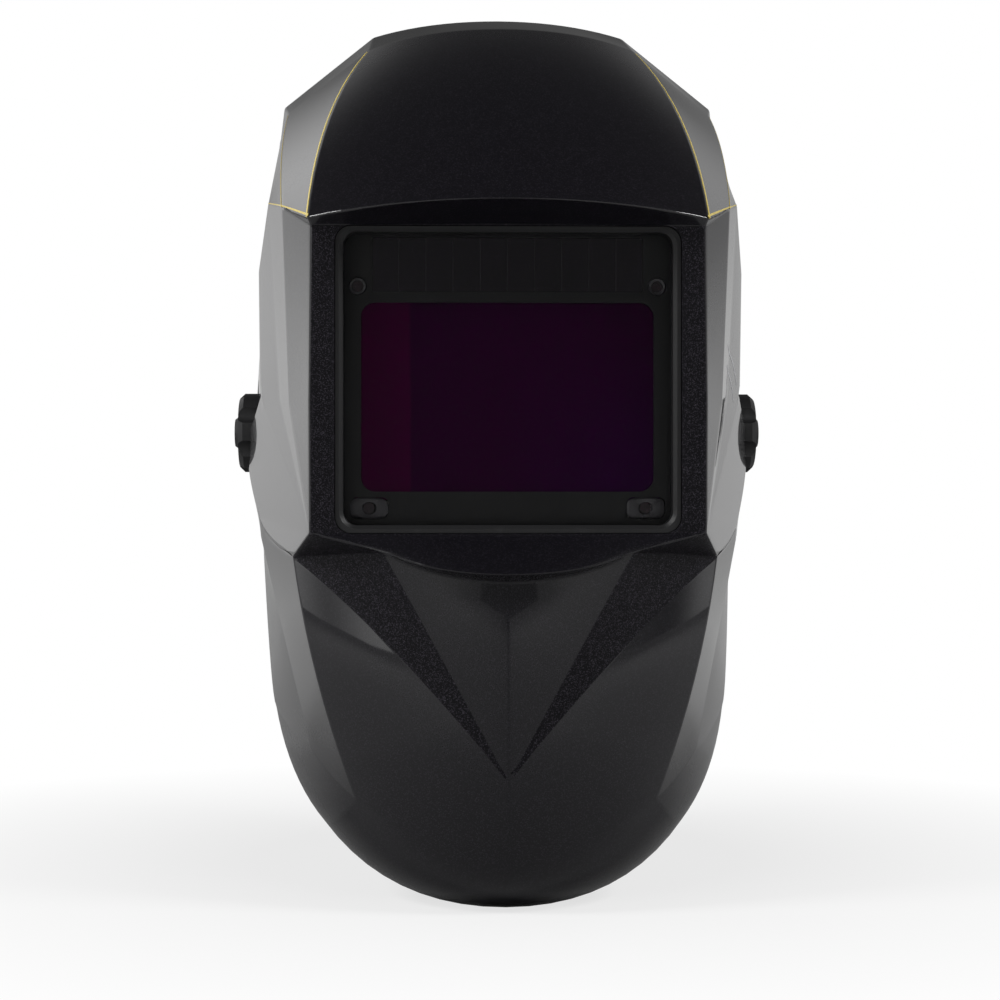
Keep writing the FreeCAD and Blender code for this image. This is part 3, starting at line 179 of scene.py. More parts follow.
class Shader:
    """One material, its nodes and the finished surface."""

    def __init__(self, name, tree=None):
        if tree is None:
            self.material = bpy.data.materials.new(name)
            self.material.use_nodes = True
            tree = self.material.node_tree
        self.tree = tree
        tree.nodes.clear()

    def node(self, kind, settings=None, sockets=None, output=0):
        """Add a node: its settings first, then the values or links of its sockets."""
        made = self.tree.nodes.new(kind)
        for name, value in (settings or {}).items():
            setattr(made, name, value)
        for name, value in (sockets or {}).items():
            if isinstance(value, Socket):
                self.tree.links.new(value.output, made.inputs[name])
            else:
                made.inputs[name].default_value = value
        return Socket(self, made.outputs[output]) if len(made.outputs) else None

    def blend(self, factor, first, second):
        """Mix two colours."""
        colours = [c if isinstance(c, Socket) else (*c[:3], 1) for c in (first, second)]
        return self.node("ShaderNodeMix", {"data_type": "RGBA"},
                         {0: factor, 6: colours[0], 7: colours[1]}, output=2)

    def place(self):
        """Position on the object, in metres in the shared frame."""
        return self.node("ShaderNodeTexCoord", output=3)

    def axes(self, vector=None):
        """The x, y and z of a vector."""
        parts = self.node("ShaderNodeSeparateXYZ", None, {0: vector or self.place()})
        return [Socket(self, parts.output.node.outputs[i]) for i in range(3)]

    def noise(self, scale, detail=3.0, rough=0.5, vector=None):
        return self.node("ShaderNodeTexNoise", None,
                         {"Vector": vector or self.place(), "Scale": scale, "Detail": detail,
                          "Roughness": rough})

    def cells(self, scale, output=0):
        return self.node("ShaderNodeTexVoronoi", None, {"Vector": self.place(), "Scale": scale},
                         output=output)

    def between(self, value, low, high, to_low=0.0, to_high=1.0):
        """Carry a value from one range to another, held at both ends."""
        return self.node("ShaderNodeMapRange", {"clamp": True},
                         {0: value, 1: low, 2: high, 3: to_low, 4: to_high})

    def bump(self, height, strength, distance):
        return self.node("ShaderNodeBump", None,
                         {"Height": height, "Strength": strength, "Distance": distance})

    def surface(self, **sockets):
        """Finish the material with a Principled surface."""
        values = {name.replace("_", " "): value for name, value in sockets.items()}
        for name, value in values.items():
            if isinstance(value, tuple) and len(value) == 3:
                values[name] = (*value, 1)
        shader = self.node("ShaderNodeBsdfPrincipled", None, values)
        self.node("ShaderNodeOutputMaterial", None, {"Surface": shader})
        return self.material


def metal_flakes(shader, scale, amount):
    """Scattered specks, one random value per cell; amount is the share of cells that shine."""
    tone = shader.node("ShaderNodeSeparateXYZ", None, {0: shader.cells(scale, output=1)})
    return shader.between(tone, 1 - amount, 1.0)


# ------------------------------------------------------------------ finishes

def hood_gloss():
    """Black paint with fine metal flakes under a clear coat that is scuffed here and there."""
    settings = bpy.context.scene.helmet_hood
    shader = Shader("hood gloss")
    flakes = metal_flakes(shader, 3200, 0.3)
    drift = shader.noise(9, 2)
    scuff = shader.between(shader.noise(55, 6, 0.7), 0.62, 0.78)
    hair = shader.between(shader.noise(420, 2, 0.5, stretched(shader, (0.08, 1, 1))), 0.66, 0.8)
    wear = (scuff * 0.35 + hair * 0.3).smaller(1.0)
    body = shader.blend(drift * 0.5, settings.paint, [c * 1.5 for c in settings.paint])
    peel = shader.bump(shader.noise(210, 1) * 0.6 + shader.noise(2600, 1) * 0.05, 0.05, 0.0004)
    return shader.surface(
        Base_Color=shader.blend(flakes * 0.09, body, settings.flake),
        Metallic=flakes * 0.15,
        Roughness=0.36 + wear * 0.2,
        Coat_Weight=1.0 - wear * 0.3,
        Coat_Roughness=0.035,
        Coat_IOR=1.5,
        Specular_IOR_Level=0.1,
        Normal=peel)


def hood_texture():
    """The same paint over a fine moulded grain: duller, with the flakes more open."""
    settings = bpy.context.scene.helmet_hood
    shader = Shader("hood texture")
    flakes = metal_flakes(shader, 4000, 0.25)
    coarse = metal_flakes(shader, 3000, 0.03)
    glitter = (flakes + coarse).smaller(1.0)
    grain = shader.noise(1700, 3, 0.6) + shader.noise(600, 2) * 0.4
    return shader.surface(
        Base_Color=shader.blend(glitter * 0.28, [c * 0.8 for c in settings.paint],
                                [c * 1.2 for c in settings.flake]),
        Metallic=glitter * 0.4,
        Roughness=0.5 - glitter * 0.16 + shader.noise(40, 3) * 0.08,
        Coat_Weight=shader.noise(25, 3) * 0.1,
        Coat_Roughness=0.12,
        Specular_IOR_Level=0.13,
        Normal=shader.bump(grain, 0.35, 0.0003))


def stretched(shader, factors):
    """Object position squeezed along its axes, for marks that run one way."""
    return shader.node("ShaderNodeVectorMath", {"operation": "MULTIPLY"},
                       {0: shader.place(), 1: factors})


def pinstripe_film(name, colour):
    """Thin printed film with a slightly uneven edge gloss and rubbed patches."""
    shader = Shader(name)
    rubbed = shader.between(shader.noise(260, 5, 0.65), 0.55, 0.8)
    tone = shader.blend(rubbed * 0.5, colour, [c * 0.55 for c in colour])
    return shader.surface(Base_Color=tone, Roughness=0.32 + rubbed * 0.3,
                          Coat_Weight=0.15 - rubbed * 0.1, Coat_Roughness=0.2,
                          Normal=shader.bump(shader.noise(1500, 2), 0.1, 0.0001))


def moulded(name, colour, grain=1500, rough=0.5, depth=0.0002, worn=2.2):
    """Moulded plastic: eroded grain, slow colour drift, flow streaks and rubbed high spots."""
    shader = Shader(name)
    drift = shader.noise(22, 3)
    streaks = shader.noise(90, 3, 0.6, stretched(shader, (1, 1, 0.15)))
    rubbed = shader.between(shader.noise(130, 7, 0.7), 0.6, 0.75)
    dark = [c * 0.8 for c in colour]
    pale = [min(1.0, c * worn) for c in colour]
    tone = shader.blend(drift * 0.8, dark, colour)
    tone = shader.blend(rubbed * 0.45, tone, pale)
    height = shader.noise(grain, 4, 0.6) + streaks * 0.35
    return shader.surface(Base_Color=tone, Roughness=rough + rubbed * 0.12 - drift * 0.06,
                          Normal=shader.bump(height, 0.4, depth))


def cover_plate_clear():
    """Clear polycarbonate: see-through face on, glossier at a glance, with faint wipe marks."""
    shader = Shader("cover plate")
    facing = shader.node("ShaderNodeFresnel", None, {"IOR": 1.5})
    wipes = shader.between(shader.noise(70, 5, 0.6, stretched(shader, (0.25, 1, 1))), 0.6, 0.8)
    return shader.surface(Base_Color=(0.004, 0.004, 0.005), Roughness=0.03 + wipes * 0.12,
                          Specular_IOR_Level=0.12,
                          Alpha=(0.02 + facing * 0.7 + wipes * 0.015).smaller(1.0))


def filter_glass():
    """Coated filter glass: deep magenta, redder at the wearer's right, bluer low on the left."""
    settings = bpy.context.scene.helmet_cartridge
    shader = Shader("filter glass")
    x, _, z = shader.axes()
    middle = tuple(settings.glass)
    red = (middle[0] * 1.9, middle[1] * 0.6, middle[2] * 1.25)
    blue = (middle[0] * 1.05, middle[1] * 0.4, middle[2] * 1.75)
    cloud = shader.noise(16, 2)
    left_band = shader.between(x + (cloud - 0.5) * 0.004, -0.0342, -0.0352)
    low_corner = (shader.between(x, -0.005, 0.05) * shader.between(z, 0.03, -0.03)).smaller(1.0)
    tone = shader.blend(low_corner * 0.9, middle, blue)
    tone = shader.blend(left_band * 0.85, tone, red)
    dust = shader.between(shader.cells(190), 0.035, 0.01)
    tone = shader.blend(dust * 0.3, tone, (0.2, 0.12, 0.2))
    return shader.surface(Base_Color=tone, Roughness=0.1 + dust * 0.4 + cloud * 0.03,
                          Coat_Weight=0.12, Coat_Roughness=0.03, Specular_IOR_Level=0.1,
                          Normal=shader.bump(shader.noise(60, 2), 0.02, 0.0002))


def solar_film():
    """Dark purple film with the fine fingers of its cells and the wider gaps between them."""
    shader = Shader("solar film")
    x, _, z = shader.axes()
    fingers = shader.between((z * 4200.0).wave(), 0.82, 0.97)
    gaps = shader.between((x * 330.0).wave().size(), 0.035, 0.012)
    cloud = shader.noise(45, 4)
    tone = shader.blend(cloud, (0.0035, 0.002, 0.006), (0.008, 0.003, 0.010))
    tone = shader.blend(fingers * 0.25, tone, (0.03, 0.02, 0.03))
    tone = shader.blend(gaps * 0.7, tone, (0.0015, 0.0015, 0.002))
    return shader.surface(Base_Color=tone, Roughness=0.22 + gaps * 0.2, Coat_Weight=0.6,
                          Coat_Roughness=0.06,
                          Normal=shader.bump(gaps * -1.0 + fingers * 0.2, 0.3, 0.0001))


def solder_mask():
    """Black board with tracks standing under the mask and bright pads."""
    shader = Shader("circuit board")
    x, _, z = shader.axes()
    tracks = shader.between(((x * 1900.0).wave() + (z * 1300.0).wave()).size(), 0.35, 0.1)
    pads = shader.between(shader.cells(280), 0.22, 0.16)
    tone = shader.blend(tracks * 0.6, (0.006, 0.007, 0.007), (0.018, 0.02, 0.02))
    tone = shader.blend(pads, tone, (0.6, 0.58, 0.52))
    return shader.surface(Base_Color=tone, Metallic=pads, Roughness=0.4 - pads * 0.1,
                          Coat_Weight=0.3, Coat_Roughness=0.2,
                          Normal=shader.bump(tracks + pads, 0.4, 0.00005))


def sensor_lens():
    """Dark photodiode with a faint rainbow over its face."""
    shader = Shader("sensor lens")
    ring = shader.noise(900, 1)
    tone = shader.blend(ring, (0.01, 0.002, 0.004), (0.03, 0.008, 0.02))
    return shader.surface(Base_Color=tone, Roughness=0.12 + ring * 0.08, Coat_Weight=1.0,
                          Coat_Roughness=0.02, Normal=shader.bump(ring, 0.05, 0.0001))


def brushed(name, colour, scale, rough):
    """Plated or turned metal: fine brush lines, cloudy plating and a few handling marks."""
    shader = Shader(name)
    lines = shader.noise(scale, 3, 0.6, stretched(shader, (1, 0.06, 1)))
    cloud = shader.noise(60, 4)
    marks = shader.between(shader.noise(240, 6, 0.7), 0.62, 0.75)
    tone = shader.blend(cloud * 0.6 + marks * 0.3, colour, [c * 0.6 for c in colour])
    return shader.surface(Base_Color=tone, Metallic=1.0 - marks * 0.1,
                          Roughness=rough + lines * 0.12 + marks * 0.15,
                          Normal=shader.bump(lines, 0.25, 0.00005))


def cotton():
    """Brushed cotton over foam: crossing yarns, a soft nap and pilling."""
    settings = bpy.context.scene.helmet_headgear
    shader = Shader("brushed cotton")
    x, y, z = shader.axes()
    warp = ((x + y) * 5200.0).wave() * ((z * 5200.0).wave())
    nap = shader.noise(2400, 4, 0.7)
    pills = shader.between(shader.cells(420), 0.24, 0.1)
    patches = shader.noise(35, 3)
    cloth = tuple(settings.cloth)
    tone = shader.blend(patches * 0.6 + nap * 0.3, [c * 0.7 for c in cloth],
                        [c * 1.5 for c in cloth])
    tone = shader.blend(pills * 0.35, tone, [c * 2.2 for c in cloth])
    height = warp * 0.5 + nap + pills * 0.8
    return shader.surface(Base_Color=tone, Roughness=0.92 - patches * 0.08,
                          Sheen_Weight=0.35, Sheen_Roughness=0.45, Specular_IOR_Level=0.2,
                          Normal=shader.bump(height, 0.6, 0.0003))


def thread():
    shader = Shader("seam thread")
    ply = shader.noise(3200, 2, 0.5, stretched(shader, (1, 1, 0.3)))
    tone = shader.blend(ply, (0.10, 0.10, 0.11), (0.24, 0.24, 0.26))
    return shader.surface(Base_Color=tone, Roughness=0.7 + ply * 0.1,
                          Normal=shader.bump(ply, 0.5, 0.0001))


# Moulded plastics by material slot.
PLASTICS = {
    "black_nylon": {"name": "black nylon", "colour": (0.014, 0.014, 0.015), "rough": 0.48},
    "seal_rubber": {"name": "seal rubber", "colour": (0.012, 0.012, 0.012), "grain": 2600,
                    "rough": 0.78, "depth": 0.0001},
    "dial": {"name": "dial plastic", "colour": (0.03, 0.03, 0.032), "rough": 0.4,
             "depth": 0.0001},
    "bush": {"name": "white acetal", "colour": (0.78, 0.78, 0.74), "grain": 2000, "rough": 0.4,
             "depth": 0.00005, "worn": 0.8},
    "knob": {"name": "knob plastic", "colour": (0.016, 0.016, 0.017), "grain": 1100,
             "rough": 0.55, "depth": 0.0003},
}
SLOTS = {part["node"]: part["material_slot"] for part in frame["record"]["subparts"]}
FINISHES = {}


def finish_for(slot):
    """The finish of one material slot, made once."""
    casing = tuple(bpy.context.scene.helmet_cartridge.casing)
    band = tuple(bpy.context.scene.helmet_headgear.band)
    makers = {
        "shell": hood_gloss,
        "cartridge": lambda: moulded("cartridge case", casing, 2100, 0.42, 0.00012),
        "clear_lens": cover_plate_clear,
        "filter_glass": filter_glass,
        "solar_cell": solar_film,
        "circuit": solder_mask,
        "sensor_eye": sensor_lens,
        "cell_steel": lambda: brushed("plated cell", (0.72, 0.72, 0.70), 500, 0.18),
        "bolt_steel": lambda: brushed("zinc plate", (0.56, 0.57, 0.58), 900, 0.28),
        "band": lambda: moulded("band plastic", band, 1300, 0.45, 0.00015),
        "sweatband_foam": cotton,
    }
    if slot not in FINISHES:
        FINISHES[slot] = moulded(**PLASTICS[slot]) if slot in PLASTICS else makers[slot]()
    return FINISHES[slot]


def dress(*names):
    """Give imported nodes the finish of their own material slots."""
    for name in names:
        node = frame["nodes"][name]
        node.data.materials.clear()
        node.data.materials.append(finish_for(SLOTS[name]))


# ------------------------------------------------------------------ mesh helpers

def new_object(name, mesh, *materials):
    made = bpy.data.objects.new(name, mesh)
    bpy.context.scene.collection.objects.link(made)
    for material in materials:
        mesh.materials.append(material)
    return made


def mesh_from(name, points, faces):
    mesh = bpy.data.meshes.new(name)
    mesh.from_pydata([tuple(p) for p in points], [], faces)
    mesh.validate()
    return mesh


def closed_mesh(name, points, faces):
    """A closed mesh with every face turned outwards."""
    mesh = mesh_from(name, points, faces)
    form = bmesh.new()
    form.from_mesh(mesh)
    bmesh.ops.recalc_face_normals(form, faces=form.faces)
    form.to_mesh(mesh)
    form.free()
    return mesh


def circle(radius, sides):
    """Points of a circle about the origin, in turn."""
    angles = [math.tau * i / sides for i in range(sides)]
    return [(radius * math.cos(angle), radius * math.sin(angle)) for angle in angles]


def join_rings(faces, low, high, count):
    """Add the faces between two rings of points, each given by its first point."""
    for i in range(count):
        j = (i + 1) % count
        faces.append((low + i, low + j, high + j, high + i))


def on_side(point, side):
    """A point of the wearer's left half, or its mirror image when the side is -1."""
    return Vector((point.x * side, point.y, point.z))


def settle(made):
    """Keep what the modifiers give as the object's own mesh."""
    bpy.context.view_layer.update()
    graph = bpy.context.evaluated_depsgraph_get()
    mesh = bpy.data.meshes.new_from_object(made.evaluated_get(graph))
    made.modifiers.clear()
    old = made.data
    made.data = mesh
    bpy.data.meshes.remove(old)


def smooth(mesh, angle):
    """Shade smoothly except across edges sharper than an angle in degrees."""
    mesh.polygons.foreach_set("use_smooth", [True] * len(mesh.polygons))
    mesh.set_sharp_from_angle(angle=math.radians(angle))


def combine(target, tool, operation):
    """Join a closed mesh to the target or cut it away, then drop it."""
    change = target.modifiers.new(operation.title(), "BOOLEAN")
    change.operation = operation
    change.object = tool
    change.solver = "EXACT"
    settle(target)
    mesh = tool.data
    bpy.data.objects.remove(tool)
    bpy.data.meshes.remove(mesh)


def prism(name, low, high):
    """A closed straight block between two matching outlines, used as a cutting tool."""
    count, faces = len(low), []
    join_rings(faces, 0, count, count)
    faces += [tuple(reversed(range(count))), tuple(range(count, 2 * count))]
    return new_object(name, closed_mesh(name, low + high, faces))


def rod_x(radius, start, end):
    """A round rod along X about the pivot axis."""
    return prism("rod", *([(x, y, z) for y, z in circle(radius, 96)] for x in (start, end)))


def round_block(width, height, corner, start, end, level):
    """A block along Y with round corners."""
    outline = []
    for quarter, (u, v) in enumerate(((1, 1), (-1, 1), (-1, -1), (1, -1))):
        for step in range(9):
            angle = math.pi / 2 * (quarter + step / 8)
            outline.append((u * (width / 2 - corner) + corner * math.cos(angle),
                            level + v * (height / 2 - corner) + corner * math.sin(angle)))
    return prism("block", *([(x, y, z) for x, z in outline] for y in (start, end)))


# ------------------------------------------------------------------ the hood's cage

# Corners of the faceted left half in millimetres. Each facet is a curved patch between corners.
CORNERS = {
    "crown_mid": (0, -8, 167.1), "crown_bend": (50.3, -8, 160.2), "crown_side": (86.3, -8, 131.4),
    "brow_top_mid": (0, -72, 150.9), "brow_top": (50.6, -64, 144.1),
    "brow_mid": (0, -166, 74.7), "brow_end": (69.1, -152, 69.6),
    "cheek_top": (83.3, -32, 125.0), "cheek_low": (79.7, -126, 76.3),
    "temple": (87.2, -88, 82.2), "temple_top": (88.5, 0, 118.8),
    "visor_top_mid": (0, -150, 67.8), "visor_top": (68.1, -150, 67.1),
    "visor_side_mid": (0, -150, 7.1), "visor_side": (68.8, -150, 7.1),
    "visor_low_mid": (0, -150, -39.5), "visor_low": (68.6, -150, -39.1),
    "fold_front": (77.4, -122, 6.9), "fold_middle": (82.8, -92, 9.6),
    "fold_rear": (92.9, -52, 12.1), "flank_top": (93.2, -55, 60.6),
    "ear": (101.5, -10, -3.1), "ear_low": (94.3, -38, -33.3),
    "jaw": (76.2, -118, -47.7), "jaw_rear": (93.8, -35, -42.4), "rear_jaw": (98, 22, -28),
    "lip_mid": (0, -165, -52.8), "lip": (43, -152, -45.5),
    "chin_top": (0, -156, -55.5), "tip": (0, -152, -124.1),
    "chin_mid": (0, -144, -149), "chin_side": (53.2, -128, -133.7),
    "crease_end": (70.9, -98, -118.5),
    "rim_side": (87.9, -40, -107), "rim_low": (66.3, -90, -146), "rim_mid": (0, -120, -173.4),
    "rear_mid": (0, 62, 158.6), "rear_bend": (50, 60, 150.6), "rear_side": (87, 54, 120.6),
    "rear_temple": (98, 45, 72.6), "rear_ear": (101, 35, 12.6),
}

FACETS = [tuple(row.split()) for row in (
    "brow_top_mid brow_top brow_end brow_mid",
    "crown_mid crown_bend brow_top brow_top_mid",
    "brow_top cheek_top cheek_low brow_end",
    "crown_bend crown_side cheek_top brow_top",
    "cheek_top temple_top temple cheek_low",
    "crown_side temple_top cheek_top",
    "rear_mid rear_bend crown_bend crown_mid",
    "rear_bend rear_side crown_side crown_bend",
    "rear_side rear_temple temple_top crown_side",
    "temple_top rear_temple flank_top temple",
    "brow_mid brow_end visor_top visor_top_mid",
    "visor_top_mid visor_top visor_side visor_side_mid",
    "visor_side_mid visor_side visor_low visor_low_mid",
    "visor_top brow_end cheek_low",
    "visor_top cheek_low fold_front visor_side",
    "visor_side fold_front visor_low",
    "cheek_low temple fold_middle fold_front",
    "fold_front fold_middle visor_low",
    "temple flank_top fold_rear fold_middle",
    "fold_middle fold_rear visor_low",
    "flank_top rear_temple rear_ear fold_rear",
    "fold_rear rear_ear rear_jaw ear",
    "fold_rear ear ear_low visor_low",
    "visor_low ear_low jaw",
    "ear rear_jaw jaw_rear ear_low",
    "ear_low jaw_rear jaw",
    "jaw_rear rear_jaw rim_side crease_end",
    "jaw jaw_rear crease_end chin_side",
    "tip jaw chin_side chin_mid",
    "chin_side crease_end rim_side rim_low",
    "chin_mid chin_side rim_low rim_mid",
    "lip jaw tip",
    "visor_low jaw lip",
    "visor_low_mid visor_low lip lip_mid",
    "lip_mid lip chin_top",
    "chin_top lip tip",
)]

# How far the middle of a crease's control line stands off the straight line between its corners.
BULGES = {
    ("brow_mid", "brow_end"): (3.5, -7, 2.5), ("brow_top_mid", "brow_top"): (4.7, -4, 3.4),
    ("crown_mid", "crown_bend"): (3, 0, 3.4), ("rear_mid", "rear_bend"): (3, 1, 4),
    ("brow_top_mid", "brow_mid"): (0, -12, 12), ("brow_top", "brow_end"): (7, -9, 7),
    ("cheek_top", "cheek_low"): (2, -5, 4), ("rear_mid", "crown_mid"): (0, 0, 5),
    ("rear_bend", "crown_bend"): (0, 0, 5), ("rear_side", "crown_side"): (1, 0, 4),
    ("lip_mid", "lip"): (5, -6, -3.6), ("chin_top", "lip"): (4, -2, -4.5),
    ("ear", "ear_low"): (3.4, 12, 0), ("ear_low", "jaw"): (6, 26, -2),
    ("jaw", "tip"): (4.4, -18, 14.2), ("lip", "tip"): (0, -2, 1), ("chin_top", "tip"): (0, -4, 0),
    ("tip", "chin_mid"): (0, -3, -1), ("chin_mid", "rim_mid"): (0, -8, -5),
    ("chin_side", "rim_low"): (3, -4, -6), ("crease_end", "rim_side"): (1, 0, -3),
    ("chin_mid", "chin_side"): (3.4, -8, -7.6), ("chin_side", "crease_end"): (1.5, -3, -1),
    ("rim_mid", "rim_low"): (9, -15, -13.7), ("rim_low", "rim_side"): (4, -6, -5.6),
    ("jaw", "chin_side"): (5, -7, 0), ("rim_side", "rear_jaw"): (-2.7, -26, -37.4),
}
# Facets with the dull glittering grain; the rest are glossy.
GRAINED = [tuple(row.split()) for row in (
    "visor_top_mid visor_top visor_side visor_side_mid",
    "visor_side_mid visor_side visor_low visor_low_mid",
    "lip jaw tip",
    "visor_low jaw lip",
)]

WALL = 2.5 * MM
GRID = 10  # cells along each side of a facet
FOLD = math.radians(9)  # creases sharper than this are rounded


def from_core(point):
    """Roughly the way outwards at a point of the hood."""
    return Vector((point.x, point.y, point.z * 0.4))


class HoodCage:
    """The facets as curved patches, outside and again one wall further in."""

    def __init__(self):
        self.outer = {name: Vector(spot) * MM for name, spot in CORNERS.items()}
        self.bulge = {frozenset(pair): Vector(by) * MM for pair, by in BULGES.items()}
        self.uses, self.normals, self.outward = {}, {}, {}
        for facet in FACETS:
            self.note(facet)
        self.outer_mid = {pair: self.middle(pair) for pair in self.uses}
        self.inner = {name: spot + self.inset(name, abs(spot.x) < 1e-9)
                      for name, spot in self.outer.items()}
        self.inner_mid = {pair: self.outer_mid[pair] + self.inset(pair, self.on_centre(pair))
                          for pair in self.uses}

    @staticmethod
    def pairs(facet):
        return [frozenset((facet[i], facet[(i + 1) % len(facet)])) for i in range(len(facet))]

    def middle(self, pair):
        a, b = (self.outer[name] for name in sorted(pair))
        return (a + b) * 0.5 + self.bulge.get(pair, Vector())

    def on_centre(self, pair):
        return all(abs(self.outer[name].x) < 1e-9 for name in pair)

    def note(self, facet):
        """Each corner and crease collects the outward normal of every facet that meets there."""
        spots = [self.outer[name] for name in facet]
        count = len(facet)
        pairs = self.pairs(facet)
        mids = [self.middle(pair) for pair in pairs]
        centre = sum(spots, Vector()) / count
        corner_normals = [(mids[i] - spots[i]).cross(mids[i - 1] - spots[i]) for i in range(count)]
        facing = sum(corner_normals, Vector())
        outward = 1 if facing.dot(from_core(centre)) > 0 else -1
        self.outward[facet] = outward
        for i, pair in enumerate(pairs):
            crease = (spots[(i + 1) % count] - spots[i]).cross(centre - mids[i])
            crease = crease * (outward if crease.dot(facing) > 0 else -outward)
            corner = corner_normals[i] * outward
            self.normals.setdefault(facet[i], []).append(corner.normalized())
            self.normals.setdefault(pair, []).append(crease.normalized())
            self.uses[pair] = self.uses.get(pair, 0) + 1

    def inset(self, name, central):
        """The step inwards that leaves one wall under every facet meeting at a corner or crease."""
        found = list(self.normals[name])
        if central:
            found += [on_side(normal, -1) for normal in found]
        mean = sum(found, Vector()) / len(found)
        return mean * (-WALL / max(mean.dot(mean), 0.35))

    def spot(self, facet, u, v, corners, mids):
        """A point on a patch: u runs along its first side, v away from it."""
        sides = [mids[pair] for pair in self.pairs(facet)]
        if len(facet) == 3:
            a, b, c = (corners[name] for name in facet)
            ab, bc, ca = sides
            across, rest = u * (1 - v), (1 - u) * (1 - v)
            return (a * rest * rest + b * across * across + c * v * v
                    + 2 * (ab * rest * across + bc * across * v + ca * v * rest))
        a, b, c, d = (corners[name] for name in facet)
        ab, bc, cd, da = sides
        centre = (ab + cd + bc + da) * 0.5 - (a + b + c + d) * 0.25
        bu = ((1 - u) ** 2, 2 * u * (1 - u), u * u)
        bv = ((1 - v) ** 2, 2 * v * (1 - v), v * v)
        rows = ((a, ab, b), (da, centre, bc), (d, cd, c))
        return sum((rows[j][i] * (bu[i] * bv[j]) for i in range(3) for j in range(3)), Vector())

    def outside(self, facet, u, v):
        return self.spot(facet, u, v, self.outer, self.outer_mid)

    def cells(self, facet):
        """Grid places (u, v) of a patch and the cells between them."""
        if len(facet) == 4:
            spots = [(i / GRID, j / GRID) for j in range(GRID + 1) for i in range(GRID + 1)]
            row = GRID + 1
            faces = [(j * row + i, j * row + i + 1, (j + 1) * row + i + 1, (j + 1) * row + i)
                     for j in range(GRID) for i in range(GRID)]
            return spots, faces
        spots, starts = [], []
        for j in range(GRID + 1):
            starts.append(len(spots))
            left = GRID - j
            spots += [(i / left if left else 0.0, j / GRID) for i in range(left + 1)]
        faces = []
        for j in range(GRID):
            low, high, left = starts[j], starts[j + 1], GRID - j
            for i in range(left):
                faces.append((low + i, low + i + 1, high + i))
                if i < left - 1:
                    faces.append((low + i + 1, high + i + 1, high + i))
        return spots, faces


CAGE = HoodCage()


def hood_mesh():
    """Both skins and the rim as one closed mesh, its folds marked for rounding.

    The finishes are 0 gloss, 1 grained and 2 inside.
    """
    form = bmesh.new()
    weight = form.edges.layers.float.new("bevel_weight_edge")
    known = {}

    def corner_at(point):
        key = tuple(round(c * 1e7) for c in point)
        if key not in known:
            known[key] = form.verts.new(point)
        return known[key]

    def face(points, flip, finish):
        ring = []
        for vertex in (corner_at(p) for p in points):
            if vertex not in ring:
                ring.append(vertex)
        if len(ring) > 2:
            made = form.faces.new(ring[::-1] if flip else ring)
            made.material_index = finish

    def crease_line(pair, side, corners, mids):
        a, b = sorted(pair)
        ends, middle = (corners[a], corners[b]), mids[pair]
        line = []
        for i in range(GRID + 1):
            t = i / GRID
            spot = ends[0] * (1 - t) ** 2 + middle * (2 * t * (1 - t)) + ends[1] * t * t
            line.append(on_side(spot, side))
        return line

    skins = ((CAGE.outer, CAGE.outer_mid, False), (CAGE.inner, CAGE.inner_mid, True))
    for corners, mids, inside in skins:
        for facet in FACETS:
            spots, faces = CAGE.cells(facet)
            points = [CAGE.spot(facet, u, v, corners, mids) for u, v in spots]
            flip = (CAGE.outward[facet] < 0) != inside
            for side in (1, -1):
                placed = [on_side(p, side) for p in points]
                for ring in faces:
                    finish = 2 if inside else 1 if facet in GRAINED else 0
                    face([placed[i] for i in ring], flip != (side < 0), finish)
    for pair, count in CAGE.uses.items():
        if count == 1 and not CAGE.on_centre(pair):
            for side in (1, -1):
                out = crease_line(pair, side, CAGE.outer, CAGE.outer_mid)
                inn = crease_line(pair, side, CAGE.inner, CAGE.inner_mid)
                for i in range(GRID):
                    face([out[i], out[i + 1], inn[i + 1], inn[i]], False, 2)
    bmesh.ops.recalc_face_normals(form, faces=form.faces)
    for pair, count in CAGE.uses.items():
        for side in (1, -1):
            line = [corner_at(p) for p in crease_line(pair, side, CAGE.outer, CAGE.outer_mid)]
            edges = [form.edges.get(ends) for ends in zip(line, line[1:])]
            edges = [e for e in edges if e and len(e.link_faces) == 2]
            if edges and max(e.calc_face_angle(0) for e in edges) > FOLD:
                for edge in edges:
                    edge[weight] = 1.0
    loose = [v for v in form.verts if not v.link_faces]
    bmesh.ops.delete(form, geom=loose, context="VERTS")
    mesh = bpy.data.meshes.new("hood")
    form.to_mesh(mesh)
    form.free()
    return mesh


def skin_tree():
    """The outer skin of the wearer's left half, for finding points on it."""
    points, faces = [], []
    for facet in FACETS:
        spots, rings = CAGE.cells(facet)
        first = len(points)
        points += [CAGE.outside(facet, u, v) for u, v in spots]
        faces += [tuple(first + i for i in ring) for ring in rings]
    return BVHTree.FromPolygons(points, faces)


def skin_x(tree, y, z):
    """How far out the skin is at a height and depth on the wearer's left."""
    found = tree.ray_cast(Vector((0.2, y, z)), Vector((-1, 0, 0)))[0]
    if found is None:
        raise RuntimeError(f"no skin beside {y:.3f}, {z:.3f}")
    return found.x


DISH_RADIUS = 22 * MM
DISH_FLOOR = 95.0 * MM
BUSH_RADIUS = 8.05 * MM
BUSH_REACH = (90 * MM, 97 * MM)
BOSS_IN = 92.5 * MM
BOSS_RINGS = (24.5 * MM, 18 * MM, 10 * MM)
BOSS_COVER = 1.0 * MM  # paint side of the skin left over the boss
OUTSIDE = 130 * MM
WINDOW = {"width": 120 * MM, "height": 106.4 * MM, "corner": 5.8 * MM, "start": -151.2 * MM,
          "end": -145.2 * MM, "level": 14.2 * MM}


